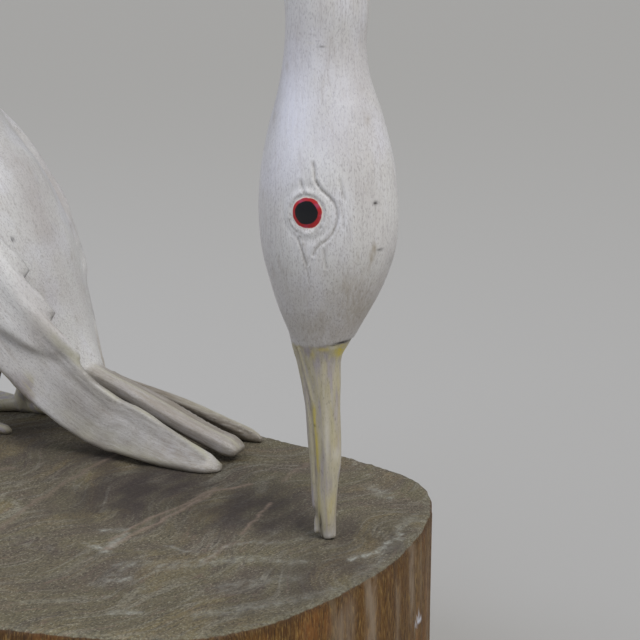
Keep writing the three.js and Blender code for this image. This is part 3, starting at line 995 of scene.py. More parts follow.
@dataclass
class CarvedEgret:
    """The whole bird, one carved piece from beak to toes.

    All lengths are millimetres. Each reach says how far the solid's facets are evened out. A
    profile is a cut or ridge where its rise is a length, or else the strength of a colour.
    """

    voxel: float = 0.7
    quick_voxel: float = 1.3
    triangles: int = 188000
    most_rounds: int = 110
    reach_share: float = 0.13
    fine_reach: float = 0.55
    head_reach: float = 0.8
    wing_reach: float = 2.0
    widest_reach: float = 3.6
    neck_lean: float = 5.0
    lean_from: float = -20.0
    lean_run: float = 106.0
    broad_marks: float = 0.09
    fine_marks: float = 0.03
    feather_marks: float = 0.02
    arch_evening: int = 32
    arch_slip: float = 1.6
    feather_line: Profile = Profile(3.2, 1.1, -0.4)
    feather_hollow: Profile = Profile(7.0, 3.2, -0.7)
    tail_line: Profile = Profile(0, 0.8, -0.6)
    tail_hollow: float = 1.3
    first_drop: Profile = Profile(127, 7.5, 1.0)
    second_drop: Profile = Profile(145, 8, 2.2)
    paint_step: float = 0.35
    paint_crack: float = 0.5
    mouth_ridge: Profile = Profile(0, 0.8, 0.3)
    mouth_cut: Profile = Profile(-1.3, 0.6, -0.45)
    tip_slit: Profile = Profile(0.3, 0.6, -0.9)
    notch_place: Pair = (-6.1, 10.6)
    notch_size: Pair = (1.2, 2.2)
    notch_depth: float = 0.8
    crown_fill: float = 1.1
    beak_bow: float = 0.7
    tip_flare: float = 0.55
    eye_dirt_and_shade: Profile = Profile(7.1, 0.45, 0.5)
    mouth_dirt_and_shade: Profile = Profile(-1.3, 0.4, 0.45)
    slit_dirt_and_shade: Profile = Profile(0.3, 0.45, 0.95)
    crack_width: float = 0.45
    yellow: Profile = Profile(0, 0.75, 1.0)
    rubbed_mouth: Profile = Profile(0, 0.8, 0.55)
    rubbed_brow: Profile = Profile(0, 0.45, 0.5)
    # Painted highlight along the tail's upward-facing top.
    tail_tone: Profile = Profile(1.0, 1.1, 0.8)
    # Painted shade in a line under each long feather's top edge.
    line_shade: Profile = Profile(3.4, 0.9, 0.1)
    row_pitch: float = 9.5
    row_feather: float = 11.0
    row_slope: float = math.radians(52)
    row_start: Pair = (236, 136)
    eye: Eye = Eye()
    paint: PaintedWood = PaintedWood()
    body_stations: Sections = (
        (157, 26, 5, 4), (168, 33, 15, 11), (182, 43.5, 26, 20), (198, 60, 36, 31),
        (215, 84, 43, 40), (232, 112, 44, 43),
    )
    neck_stations: tuple[tuple[float, float, float, float, float], ...] = (
        (-126.5, 142, 36, 36, 15), (-131.5, 172, 26.5, 27, 12), (-127, 204, 21.5, 22.5, 9),
        (-111, 236, 19.5, 20.5, 6), (-86, 263, 18.6, 19.5, 4), (-55, 284, 18, 18.8, 2),
        (-20, 298, 17.5, 18.2, 1), (17, 305, 17.1, 17.7, 2), (53, 304, 16.8, 17.3, 5),
        (86, 294, 16.6, 17, 10), (111, 275, 16.5, 16.8, 15), (125.5, 250, 16.3, 16.5, 19),
    )
    head_stations: Sections = (
        (221, -0.7, 16.2, 16.3), (203, -1.3, 15.7, 15.9), (188.7, -1.6, 16.6, 17.8),
        (173.4, -1.2, 19, 22.3), (157.9, -0.9, 21.8, 26.1), (142, -0.7, 23, 27.6),
        (126.3, -0.6, 22.8, 27.2), (114, -1, 20.9, 24.6), (101.9, -2, 17.4, 20.2),
        (92, -2.6, 13.8, 15.5), (84.5, -3.1, 10.9, 11.7), (69, -2.8, 7.3, 8.2),
        (36, -1.6, 5.3, 6.4), (0.3, -1, 3.4, 4.2),
    )
    near_feather: Sections = (
        (77.5, 23.5, 1.6, 2), (96, 27, 6, 7.4), (128, 26, 15.2, 12.8), (142, 26.4, 19, 14),
        (165, 32, 38, 16), (195, 38, 72, 18), (222, 39, 108, 16), (250, 27, 164, 9),
    )
    far_feather: Sections = (
        (77, -19.5, 1.7, 2), (100, -20, 5.6, 7.8), (140, -19, 12.6, 11), (160, -18.5, 16.6, 11.5),
        (175, -20, 22.5, 12), (197, -33, 62, 17), (222, -39, 106, 16), (250, -27, 164, 9),
    )
    tail_feather: Sections = (
        (76, 7, 4.6, 5), (103, 5.6, 13.8, 8), (137, 3, 26, 7.4), (160, 1, 33.5, 7), (184, 0, 44, 9),
    )
    lines: tuple[CarvedLine, ...] = (
        CarvedLine(((0.3, 159.5), (1, 157), (1.3, 154), (2.6, 151)), 0.58, 0.38),
        CarvedLine(
            (
                (1.9, 152.5), (3.8, 149.6), (6.9, 147), (8.8, 144.8), (9.8, 142), (10, 139),
                (9.4, 136), (8.1, 133), (6.2, 130.6), (3.4, 128.6), (1.7, 126.6), (0.8, 124.4),
            ),
            0.58,
            0.4,
        ),
        CarvedLine(((10.6, 153.3), (11.4, 149.6), (12.6, 145.8)), 0.6, 0.25),
        CarvedLine(((10.8, 144.7), (12, 140.2), (12.3, 135.2)), 0.5, 0.18),
        CarvedLine(((-4.5, 152.6), (-3.6, 150), (-2.3, 147.6)), 0.6, 0.3),
        CarvedLine(((-5.4, 130.6), (-4, 127), (-2, 120.5)), 0.5, 0.36),
        CarvedLine(((-3.6, 124.5), (-1.8, 118), (-1, 113)), 0.45, 0.18, False),
        CarvedLine(((5.1, 126.7), (5.3, 122.8), (5.6, 119.6)), 0.6, 0.22, False),
        CarvedLine(((-8.9, 137.6), (-7.9, 135), (-5.8, 133.4), (-3.5, 132.8)), 0.5, 0.3),
        CarvedLine(((0.6, 132.9), (2.5, 133.9), (4.2, 135.6)), 0.5, 0.3),
    )
    mouth: Line = (
        (-10.2, 83.5), (-7.2, 70.3), (-4.5, 58.7), (-3.4, 40.2), (-2.9, 25.8), (-2.7, 11),
        (-2.2, 1),
    )
    edge: Line = (
        (-11.3, 84.2), (-4.6, 85.1), (0.7, 85.3), (6.9, 86.3), (8.8, 86.7),
    )
    spots: tuple[Spot, ...] = (
        Spot(Layer.MOUTH, 6.2, 81.9, 1.7, 2.8, 1.2),
        Spot(Layer.MOUTH, 7.4, 85.0, 0.9, 1.4, 0.8),
        Spot(Layer.MOUTH, 0.8, 83.9, 2.2, 0.9, 0.75),
        Spot(Layer.MOUTH, -3.6, 81.2, 0.9, 1.8, 0.6),
        Spot(Layer.MOUTH, -10.6, 84.0, 1.0, 2.4, 0.45),
        Spot(Layer.MOUTH, 5.7, 60, 1.1, 16, 0.2, True),
        Spot(Layer.MOUTH, 4.4, 44, 1.0, 4, 0.2),
        Spot(Layer.MOUTH, 2.2, 15, 1.6, 6, 0.3),
        Spot(Layer.WORN, 4.5, 84.4, 1.6, 0.7, 0.8),
        Spot(Layer.WORN, 1.1, 46, 0.9, 11, 0.6),
        Spot(Layer.WORN, 4.2, 38.5, 1.2, 3.0, 0.4),
        Spot(Layer.WORN, 0.7, 2.0, 2.6, 2.2, 0.9, True),
        Spot(Layer.WORN, -4.4, 4.5, 1.2, 2.4, 0.65),
        Spot(Layer.WORN, 0.9, 155.2, 0.7, 2.6, 0.5),
        Spot(Layer.WORN, -3.5, 129.5, 0.5, 1.6, 0.5),
        Spot(Layer.WORN, 3.6, 123, 1.4, 4, 0.35),
        Spot(Layer.WORN, -2.5, 203.4, 1.6, 0.5, 0.6),
        Spot(Layer.WORN, 3.6, 202.3, 0.9, 0.5, 0.5),
        Spot(Layer.DARK, -5.7, 11.4, 0.8, 1.6, 1.0),
        Spot(Layer.DARK, -4.3, 50.4, 0.45, 0.45, 0.8),
        Spot(Layer.DARK, -2.5, 7.2, 0.45, 3.2, 0.9),
        Spot(Layer.DARK, 7.4, 86.5, 1.6, 0.45, 1.3),
        Spot(Layer.DARK, 4.6, 85.7, 1.0, 0.22, 0.6),
        Spot(Layer.STAIN, 15, 104, 9, 17, 0.6),
        Spot(Layer.STAIN, 0, 93, 16, 9, 0.42, True),
        Spot(Layer.STAIN, -8, 108, 8, 10, 0.22, True),
        Spot(Layer.STAIN, 22.2, 126.2, 0.9, 2.7, 0.8),
        Spot(Layer.STAIN, 21.4, 123.4, 0.9, 2.7, 0.8),
        # Painted shade: a faint darkening towards the throat side of the head at eye level.
        Spot(Layer.GROOVE, -15, 126, 7, 24, 0.12),
        Spot(Layer.GROOVE, -4.5, 131.6, 0.4, 0.6, 0.8),
        Spot(Layer.GROOVE, -3.1, 128.4, 0.35, 0.8, 0.8),
        # Painted shade: darker towards the head's edges higher up, more on the throat side.
        Spot(Layer.GROOVE, -19, 180, 5, 24, 0.24),
        Spot(Layer.GROOVE, 17, 180, 4, 18, 0.1),
        # Painted highlight: paler bluish white over the upper head, where the light falls.
        Spot(Layer.CHALK, -9, 176, 11, 23, 0.7),
        Spot(Layer.CHALK, 3, 168, 9, 15, 0.35),
        Spot(Layer.CHALK, 9, 180, 8, 20, 0.35),
        Spot(Layer.CHALK, -3, 200, 12, 18, 0.2),
        Spot(Layer.STAIN, -13, 194.5, 0.9, 1.6, 0.35),
        Spot(Layer.STAIN, -18.4, 175, 0.9, 2.2, 0.35),
        Spot(Layer.STAIN, 18.4, 175, 0.9, 2.4, 0.3),
        Spot(Layer.DARK, 22.6, 144.1, 0.6, 0.62, 1.4),
        Spot(Layer.DARK, 24.0, 125.7, 0.8, 0.35, 1.1),
        Spot(Layer.DARK, 2.0, 202.1, 1.1, 0.4, 0.6),
        Spot(Layer.DARK, 26.5, 116, 0.9, 4.5, 0.55),
    )

    def main_limb(self, evening: int = 0) -> Limb:
        """Lays the spine that runs through body, neck, head and beak.

        Args:
            evening: how many rounds of smoothing the spine gets.

        Returns:
            The limb, from the tail's root to the beak's tip.
        """
        stations = []
        turns = []
        for forward, height, wide, deep in self.body_stations:
            stations.append((*BIRD.point(forward, 0, height), wide, deep))
            turns.append(BODY_TURN)
        for x, height, wide, deep, turn in self.neck_stations:
            lean = self.neck_lean * max(0.0, (self.lean_from - x) / self.lean_run) ** 2
            stations.append((x, HEAD.tip[1] + lean, STUMP_TOP + height, wide, deep))
            turns.append(turn)
        for height, crown, wide, deep in self.head_stations:
            x, y, _ = np.array([*HEAD.tip, 0.0]) + HEAD.crown * crown
            stations.append((x, y, STUMP_TOP + height, wide, deep))
            turns.append(HEAD_TURN)
        return Limb(tuple(stations), tuple(turns), evening)

    def feather_limb(self, sections: Sections) -> Limb:
        """Lays the spine of one long feather.

        Args:
            sections: the feather's forward, left and height, with its half width.

        Returns:
            The limb, with the half width as both sizes.
        """
        stations = tuple(
            (*BIRD.point(forward, left, height), wide, wide)
            for forward, left, height, wide in sections
        )
        return Limb(stations, (BODY_TURN,) * len(stations))

    def on_main(self, points: Array, out: Array) -> Array:
        """Tells body, neck, head and beak from wings, tail and legs.

        Args:
            points: positions in millimetres.
            out: how far out each point lies as a share of the main limb's section.

        Returns:
            For each point whether it is on body, neck, head or beak.
        """
        return (out < LIMB_EDGE) | (HEAD.places(points)[:, 0] > -HEAD_REACH)

    def build(self) -> bpy.types.Object:
        """Makes the piece.

        Returns:
            The carved, painted bird.
        """
        piece = copy_of_node("egret", "carved_egret")
        voxel = self.voxel
        remesh(piece, voxel)
        LOG.info("egret even mesh: %d points", len(piece.data.vertices))
        carving = Carving(piece)
        local, out, size = self.main_limb().straighten(carving.points)
        main = self.on_main(carving.points, out)
        self.even_out(carving, main, size, voxel)
        self.round_neck(carving, main)
        self.carve_body(carving, local, main)
        self.carve_wings(carving, main)
        self.carve_head(carving)
        self.settle(carving)
        thin_out(piece, self.triangles, self.kept_mesh(carving))
        self.mark(Carving(piece))
        piece.data.materials.append(self.paint.build(self.eye))
        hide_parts("egret")
        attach(piece, "root")
        LOG.info("carved_egret: %d faces", len(piece.data.polygons))
        return piece

    def even_out(self, carving: Carving, main: Array, size: Array, voxel: float) -> None:
        """Smooths the solid's facets and puts back what that takes off the rounded parts.

        Args:
            carving: the bird.
            main: which points belong to body, neck and head.
            size: the main limb's mean half size at each point.
            voxel: the mesh's spacing.
        """
        beside_head = HEAD.places(carving.points)[:, 0] > -HEAD_REACH
        places = BIRD.places(carving.points)
        wide = np.minimum(self.reach_share * size, self.widest_reach)
        reach = np.where(main, wide, self.fine_reach)
        reach = np.where(beside_head, np.maximum(reach, self.head_reach), reach)
        wing = ~main & (places[:, 0] > 148) & (places[:, 2] > 34)
        reach = np.where(wing, self.wing_reach, reach)
        near_stump = smooth_step(16, 6, places[:, 2])
        reach = reach * (1 - near_stump) + self.fine_reach * near_stump
        carving.relax(reach, voxel, self.most_rounds)
        carving.write()
        carving.push(np.where(main, reach**2 / (2 * np.maximum(size, 4)) - 0.2, 0))
        carving.write()

    def round_neck(self, carving: Carving, main: Array) -> None:
        """Rounds the neck's arch out to its true sections, over the solid's flat facets.

        Args:
            carving: the bird.
            main: which points belong to body, neck and head.
        """
        height = carving.points[:, 2] - STUMP_TOP
        past_head = smooth_step(208, 226, height)
        past_body = smooth_step(150, 175, height)
        breast = smooth_step(0.1, 0.5, carving.normals @ BIRD.ahead) * smooth_step(50, 75, height)
        past_body = np.maximum(past_body, breast)
        share = np.where(HEAD.places(carving.points)[:, 0] > -HEAD_REACH, past_head, past_body)
        neck = np.nonzero(main & (share > 0))[0]
        _, out, size = self.main_limb(self.arch_evening).straighten(carving.points[neck])
        push = np.zeros(len(height))
        slip = np.clip((1 - out) * size, -self.arch_slip, self.arch_slip)
        push[neck] = share[neck] * slip
        carving.push(carving.soften(push, 8))
        carving.write()

    def carve_body(self, carving: Carving, local: Array, main: Array) -> None:
        """Gives body and neck the slight unevenness of a rasp and knife.

        Args:
            carving: the bird.
            local: places as if the main limb were straight.
            main: which points belong to body, neck and head.
        """
        broad = ripple(local, (17, 17, 30), 4)
        fine = ripple(local, (2.2, 2.2, 24), 9)
        on_body = self.broad_marks * broad + self.fine_marks * fine
        carving.push(np.where(main, on_body, self.feather_marks * fine))
        carving.write()

    def carve_wings(self, carving: Carving, main: Array) -> None:
        """Cuts a ridge into each long feather's top edge and scallops into the shoulders.

        Args:
            carving: the bird.
            main: which points belong to body, neck and head.
        """
        self.lower_edge(carving, main)
        places = BIRD.places(carving.points)
        push = np.zeros(len(places))
        sideways = np.abs(carving.normals @ BIRD.left)
        for sections in (self.near_feather, self.far_feather):
            rise, size, here = self.across_feather(sections, carving.points, main, places)
            edge = self.below_edge(rise, size)
            cut = self.feather_line.at(edge) + self.feather_hollow.at(edge)
            cut = cut * smooth_step(1.5, 4.5, size)
            push += np.where(here, cut * smooth_step(0.3, 0.6, sideways), 0)
        rise, size, here = self.across_feather(self.tail_feather, carving.points, main, places)
        upward = smooth_step(0.1, 0.5, carving.normals[:, 2])
        cut = self.tail_line.at(rise) - self.tail_hollow * smooth_step(-0.2, -1.4, rise)
        length = smooth_step(172, 150, places[:, 0]) * smooth_step(78, 92, places[:, 0])
        push += np.where(here, cut * upward * length, 0)
        scallop = self.scallops(places) * smooth_step(0.45, 0.75, sideways)
        push += np.where(~main, scallop, 0)
        carving.push(push)
        carving.write()

    def lower_edge(self, carving: Carving, main: Array) -> None:
        """Straightens the near long feather's upper edge, where it leaves the wing.

        Args:
            carving: the bird.
            main: which points belong to body, neck and head.
        """
        places = BIRD.places(carving.points)
        rise, size, here = self.across_feather(self.near_feather, carving.points, main, places)
        drop = self.first_drop.at(places[:, 0]) + self.second_drop.at(places[:, 0])
        high = smooth_step(0.1, 0.9, rise / size)
        carving.points[:, 2] -= np.where(here, drop * high, 0)
        carving.write()

    def across_feather(
        self, sections: Sections, points: Array, main: Array, places: Array
    ) -> tuple[Array, Array, Array]:
        """Places on a long feather.

        Args:
            sections: the feather's spine.
            points: positions in millimetres.
            main: which points belong to body, neck and head.
            places: forward, left and height of each point.

        Returns:
            How far each point lies from the feather's spine, its half width there, and which
            points are on it.
        """
        local, out, size = self.feather_limb(sections).straighten(points)
        rise = local[:, 0] if sections is self.tail_feather else local[:, 1]
        here = ~main & (out < 1.15) & (places[:, 0] < 205) & (points[:, 0] < 100)
        return rise, size, here

    def below_edge(self, rise: Array, size: Array) -> Array:
        """How far points lie below a long feather's top edge, more where it is narrow."""
        return (size - rise) / np.clip(size / 9, 0.3, 1)

    def scallops(self, places: Array) -> Array:
        """Rows of small feathers on the shoulders.

        Args:
            places: forward, left and height of each point.

        Returns:
            The push for each point, nought away from the shoulders.
        """
        forward = places[:, 0] - self.row_start[0]
        height = places[:, 2] - self.row_start[1]
        down = -forward * math.cos(self.row_slope) - height * math.sin(self.row_slope)
        level = forward * math.sin(self.row_slope) - height * math.cos(self.row_slope)
        shoulder = smooth_step(22, 25, np.abs(places[:, 1])) * smooth_step(68, 74, places[:, 2])
        shoulder *= smooth_step(60, 55, down)
        row = np.floor(down / self.row_pitch)
        across = (level / self.row_feather + 0.5 * (row % 2)) % 1.0 - 0.5
        arc = np.sqrt(np.clip(1 - (2 * across) ** 2, 0, 1))
        lip = down - row * self.row_pitch - self.row_pitch * (0.62 + 0.38 * arc)
        step = -0.5 * smooth_step(-0.4, 0.8, lip) + 0.25 * smooth_step(-4.5, -0.4, lip)
        return step * shoulder

    def beak_edge(self, head: Array) -> Array:
        """Finds the line where the head's paint ends and the beak begins.

        Args:
            head: crown, left and height of each point.

        Returns:
            The line's height beside each point.
        """
        line = np.array(self.edge)
        wander = 0.3 * np.sin(1.1 * head[:, 0] + 0.6 * head[:, 1])
        return np.interp(head[:, 0], line[:, 0], line[:, 1]) + wander

    def carve_head(self, carving: Carving) -> None:
        """Cuts brow, lids, mouth and the edge where head meets beak.

        Args:
            carving: the bird.
        """
        self.bow_beak(carving)
        self.fill_crown(carving)
        head = HEAD.places(carving.points)
        looks_left = carving.normals @ HEAD.left
        on_head = np.abs(head[:, 0]) < HEAD_REACH
        flat = head[:, [0, 2]]
        push = np.zeros(len(head))
        for line in self.lines:
            gap = distance_to_line(flat, line.points)
            cut = -line.depth * bell(gap, 0, line.width)
            lip = 0.3 * line.depth * bell(gap, 2.1 * line.width, line.width)
            sided = looks_left > SIDEWAYS
            if line.on_right:
                sided = np.abs(looks_left) > SIDEWAYS
            push += np.where(sided, cut + lip, 0)
        level, round_eye = self.eye.carve(head, looks_left)
        push += np.where(np.abs(looks_left) > SIDEWAYS, round_eye, 0)
        edge = self.beak_edge(head)
        step = smooth_step(edge + 0.5, edge - 0.5, head[:, 2]) * smooth_step(60, 78, head[:, 2])
        push += -self.paint_step * step * smooth_step(-6, 4, head[:, 0])
        crack = bell(head[:, 2], edge, 0.5) * smooth_step(3, 6, head[:, 0])
        push += -self.paint_crack * crack
        mouth = self.mouth_gap(head)
        on_side = (head[:, 2] < 83) & (np.abs(looks_left) > 0.25)
        ridge = self.mouth_ridge.at(mouth) * smooth_step(24, 34, head[:, 2])
        slit = self.tip_slit.at(mouth) * smooth_step(14, 7, head[:, 2])
        for relief in (ridge, self.mouth_cut.at(mouth), slit):
            push += np.where(on_side, relief, 0)
        off = (flat - np.array(self.notch_place)) / np.array(self.notch_size)
        push += -self.notch_depth * np.exp(-(off[:, 0] ** 2) - off[:, 1] ** 2)
        facets = 0.05 * np.sin(2 * math.pi * head[:, 0] / 2.7 + 0.03 * head[:, 2])
        push += np.where(head[:, 2] < 80, facets, 0)
        inside = on_head & ~np.isnan(level)
        carving.push(np.where(on_head, push, 0))
        side = np.sign(head[:, 1])
        move = np.where(inside, side * np.nan_to_num(level) - head[:, 1], 0)
        carving.points += move[:, None] * HEAD.left
        carving.write()

    def fill_crown(self, carving: Carving) -> None:
        """Rounds the back of the crown out by about a millimetre.

        Args:
            carving: the bird.
        """
        head = HEAD.places(carving.points)
        fill = self.crown_fill * smooth_step(2, 24, head[:, 0]) * (head[:, 0] < HEAD_REACH)
        fill *= smooth_step(102, 128, head[:, 2]) * smooth_step(206, 178, head[:, 2])
        carving.points += fill[:, None] * HEAD.crown
        carving.write()

    def bow_beak(self, carving: Carving) -> None:
        """Bows the middle of the beak towards the crown's side and flares its tip.

        Args:
            carving: the bird.
        """
        head = HEAD.places(carving.points)
        bow = self.beak_bow * smooth_step(82, 66, head[:, 2]) * smooth_step(12, 34, head[:, 2])
        flare = self.tip_flare * smooth_step(9, 1, head[:, 2])
        flare = flare * np.tanh((head[:, 0] - 0.6) / 1.5)
        shift = bow + np.where(head[:, 0] > -2.4, flare, 0)
        shift *= (np.abs(head[:, 0]) < HEAD_REACH) & (head[:, 2] < 84)
        carving.points += shift[:, None] * HEAD.crown
        carving.write()

    def mouth_gap(self, head: Array) -> Array:
        """How far each point lies from the mouth line, to the crown's side."""
        line = np.array(self.mouth)[::-1]
        return head[:, 0] - np.interp(head[:, 2], line[:, 1], line[:, 0])

    def settle(self, carving: Carving) -> None:
        """Lets beak, toes, tail and wing tips touch the stump.

        Args:
            carving: the bird.
        """
        height = carving.points[:, 2] - STUMP_TOP
        low = smooth_step(1.2, 0.4, height)
        carving.points[:, 2] = STUMP_TOP + np.maximum(0.02, height - 0.3 * low)
        carving.write()

    def kept_mesh(self, carving: Carving) -> Array:
        """Chooses how much of the mesh each area keeps when it is thinned out.

        Args:
            carving: the bird.

        Returns:
            A share for each point, the largest on the face.
        """
        head = HEAD.places(carving.points)
        places = BIRD.places(carving.points)
        keep = np.where(places[:, 2] > 120, 0.32, 0.25)
        keep[(np.abs(head[:, 0]) < HEAD_REACH) & (head[:, 2] < 205)] = 0.85
        keep[(places[:, 0] < 175) & (places[:, 2] < 60) & (places[:, 0] > 60)] = 0.7
        face = (np.abs(head[:, 0]) < 16) & (head[:, 2] > 116) & (head[:, 2] < 164)
        keep[face] = 1.0
        return keep

    def mark(self, carving: Carving) -> None:
        """Stores the grain direction and the places of dirt, stains and other colours.

        Args:
            carving: the thinned bird.
        """
        points = carving.points
        local, out, _ = self.main_limb().straighten(points)
        head = HEAD.places(points)
        places = BIRD.places(points)
        main = self.on_main(points, out)
        carving.carry(Layer.GRAIN, self.grain(points, local, main) * MM)
        looks_left = carving.normals @ HEAD.left
        on_head = np.abs(head[:, 0]) < HEAD_REACH
        covers = {
            Layer.GROOVE: self.dirty_and_shaded_lines(head, looks_left, points),
            Layer.MOUTH: self.yellow_line(head, looks_left, points),
            Layer.WORN: self.worn_line(head, looks_left),
        }
        for spot in self.spots:
            cover = spot.cover(head, looks_left)
            covers[spot.layer] = np.maximum(covers.get(spot.layer, 0), cover)
        edge = self.beak_edge(head)
        beak = smooth_step(edge + 0.7, edge - 0.7, head[:, 2]) * on_head
        for layer, cover in covers.items():
            covers[layer] = np.clip(cover, 0, 1) * on_head
        covers[Layer.MOUTH] = covers[Layer.MOUTH] * beak
        covers[Layer.STAIN] = covers[Layer.STAIN] * (1 - beak)
        legs = ~main & (places[:, 2] < 46) & (places[:, 0] > 172)
        legs = carving.soften(legs * smooth_step(44, 34, places[:, 2]), 3)
        covers[Layer.BEAK] = np.maximum(beak, legs)
        # Pale feather edges with a painted highlight, and painted shade on the feathers.
        ridge, shadow = self.feather_tones(points, main, places, carving.normals)
        covers[Layer.FEATHER] = carving.soften(ridge, 2)
        shadow = carving.soften(shadow, 6)
        # Brownish stain colour laid darker low down near the stump and on the inner side of wings
        # and body.
        low_and_inner_darkening = 0.6 * smooth_step(18, 1, places[:, 2]) * ~main
        inner = ~main & (places[:, 1] < 15) & (places[:, 0] < 175)
        low_and_inner_darkening = np.maximum(low_and_inner_darkening, 0.6 * inner * smooth_step(60, 30, places[:, 2]))
        low_and_inner_darkening = carving.soften(low_and_inner_darkening, 6)
        covers[Layer.STAIN] = np.maximum(covers[Layer.STAIN], low_and_inner_darkening)
        covers[Layer.GROOVE] = np.maximum(covers[Layer.GROOVE], shadow)
        for layer, cover in covers.items():
            carving.carry(layer, cover)

    def grain(self, points: Array, local: Array, main: Array) -> Array:
        """Places points as if body and feathers were straight, for the paint's streaks.

        Args:
            points: positions in millimetres.
            local: their places as if the main limb were straight.
            main: which points belong to body, neck and head.

        Returns:
            The places in millimetres, apart from one another for each feather.
        """
        grain = local.copy()
        closest = np.full(len(points), FAR_AWAY)
        feathers = (self.near_feather, self.far_feather, self.tail_feather)
        for number, sections in enumerate(feathers):
            feather, reach, _ = self.feather_limb(sections).straighten(points)
            better = ~main & (reach < closest)
            closest[better] = reach[better]
            grain[better] = feather[better] + 100.0 * (number + 1)
        return grain

    def dirty_and_shaded_lines(self, head: Array, looks_left: Array, points: Array) -> Array:
        """Finds dirt with painted shade in cut lines, round the eye, along the mouth and in the
        beak's crack.

        Args:
            head: crown, left and height of each point.
            looks_left: how far each point's normal looks to the left.
            points: positions in millimetres.

        Returns:
            The strength of the dirt and painted shade at each point.
        """
        on_side = np.abs(looks_left) > SIDEWAYS
        flat = head[:, [0, 2]]
        dirt_and_shade = np.zeros(len(head))
        for line in self.lines:
            gap = distance_to_line(flat, line.points)
            strength = min(0.85, 1.5 * line.depth)
            sided = on_side if line.on_right else looks_left > SIDEWAYS
            cut = strength * bell(gap, 0, 0.7 * line.width)
            dirt_and_shade = np.maximum(dirt_and_shade, np.where(sided, cut, 0))
        reach = self.eye.reach(head)
        broken = np.clip(0.4 + 0.6 * ripple(points, (3, 3, 3), 2), 0, 1)
        ring = self.eye_dirt_and_shade.at(reach) * broken
        dirt_and_shade = np.maximum(dirt_and_shade, np.where(on_side, ring, 0))
        mouth = self.mouth_gap(head)
        below = on_side & (head[:, 2] < 82)
        seam = self.mouth_dirt_and_shade.at(mouth)
        slit = self.slit_dirt_and_shade.at(mouth) * smooth_step(15, 8, head[:, 2])
        dirt_and_shade = np.maximum(dirt_and_shade, np.where(below, np.maximum(seam, slit), 0))
        crack = bell(head[:, 2], self.beak_edge(head), self.crack_width)
        crack *= 0.12 + 0.88 * smooth_step(4.0, 7.0, head[:, 0])
        return np.maximum(dirt_and_shade, crack)

    def yellow_line(self, head: Array, looks_left: Array, points: Array) -> Array:
        """Finds the yellow paint left along the mouth.

        Args:
            head: crown, left and height of each point.
            looks_left: how far each point's normal looks to the left.
            points: positions in millimetres.

        Returns:
            The paint's strength at each point.
        """
        mouth = self.mouth_gap(head)
        strong = smooth_step(26, 34, head[:, 2]) * smooth_step(64, 56, head[:, 2])
        faint = 0.35 * smooth_step(6, 12, head[:, 2])
        line = self.yellow.at(mouth) * np.maximum(strong, faint)
        line *= np.clip(0.85 + 0.2 * ripple(points, (2, 2, 5), 12), 0, 1)
        return np.where(np.abs(looks_left) > 0.2, line, 0)

    def worn_line(self, head: Array, looks_left: Array) -> Array:
        """Finds the pale rubbed ridges above the yellow line and along the brow.

        Args:
            head: crown, left and height of each point.
            looks_left: how far each point's normal looks to the left.

        Returns:
            The rubbed colour's strength at each point.
        """
        mouth = self.mouth_gap(head)
        line = self.rubbed_mouth.at(mouth) * smooth_step(56, 64, head[:, 2])
        line = np.where((np.abs(looks_left) > 0.2) & (head[:, 2] < 84), line, 0)
        reach = self.eye.reach(head)
        brow = self.lines[1]
        gap = distance_to_line(head[:, [0, 2]], brow.points) - 1.7 * brow.width
        lip = self.rubbed_brow.at(gap) * smooth_step(138, 147, head[:, 2])
        within = (reach < 14) & (head[:, 0] - 0.75 * (151 - head[:, 2]) < 1.6)
        return np.maximum(line, np.where(within & (looks_left > SIDEWAYS), lip, 0))

    def feather_tones(
        self, points: Array, main: Array, places: Array, normals: Array
    ) -> tuple[Array, Array]:
        """Finds the long feathers' pale top edges, yellowed paint with a painted highlight, and the
        painted shade and grime below them.

        Args:
            points: positions in millimetres.
            main: which points belong to body, neck and head.
            places: forward, left and height of each point.
            normals: the points' normals.

        Returns:
            The covers of the pale edge with its painted highlight, and of the painted shade and
            grime.
        """
        ridge = np.zeros(len(points))
        dirt_and_shade = np.zeros(len(points))
        lengthwise = smooth_step(178, 145, places[:, 0])
        looks_left = normals @ BIRD.left
        upward = normals[:, 2]
        cloudy = np.clip(0.5 + 0.5 * ripple(points, (16, 16, 9), 71), 0, 1)
        for sections in (self.near_feather, self.far_feather, self.tail_feather):
            rise, size, here = self.across_feather(sections, points, main, places)
            if sections is self.tail_feather:
                # On the tail: a painted highlight along its upward-facing top; painted shade on its
                # far half and on faces turned down.
                tone = self.tail_tone.at(rise) * smooth_step(0, 0.4, upward)
                shade_and_grime = 0.62 * smooth_step(-0.1, -1.0, rise) * smooth_step(-0.2, 0.3, upward)
                shade_and_grime = np.maximum(shade_and_grime, 0.25 + 0.5 * smooth_step(0.1, -0.5, upward))
            else:
                # On the long feathers: a pale top edge, yellowed paint with a painted highlight;
                # painted shade as a grey base, under the edge and on faces turned away.
                edge = self.below_edge(rise, size)
                tone = 0.8 * smooth_step(1.8, 0.6, edge) + 0.15 * smooth_step(4, 2.5, edge)
                tone = np.maximum(tone, 0.55 * smooth_step(0.1, -0.5, rise / size) * cloudy)
                shade_and_grime = 0.57 + self.line_shade.at(edge)
                shade_and_grime += 0.4 * smooth_step(0.1, -0.4, looks_left * np.sign(sections[0][1]))
                if sections is self.far_feather:
                    tone = 0.6 * smooth_step(2.0, 0.8, edge) * smooth_step(140, 100, places[:, 0])
            ridge = np.maximum(ridge, np.where(here, tone, 0))
            dirt_and_shade = np.maximum(dirt_and_shade, np.where(here, shade_and_grime, 0))
        # Painted shadow where the feathers come down to the stump.
        low = smooth_step(3.0, 0.5, places[:, 2]) * ~main
        dirt_and_shade = dirt_and_shade * (1 - 0.7 * ridge)
        return ridge * lengthwise, np.maximum(dirt_and_shade * lengthwise, 0.4 * low)


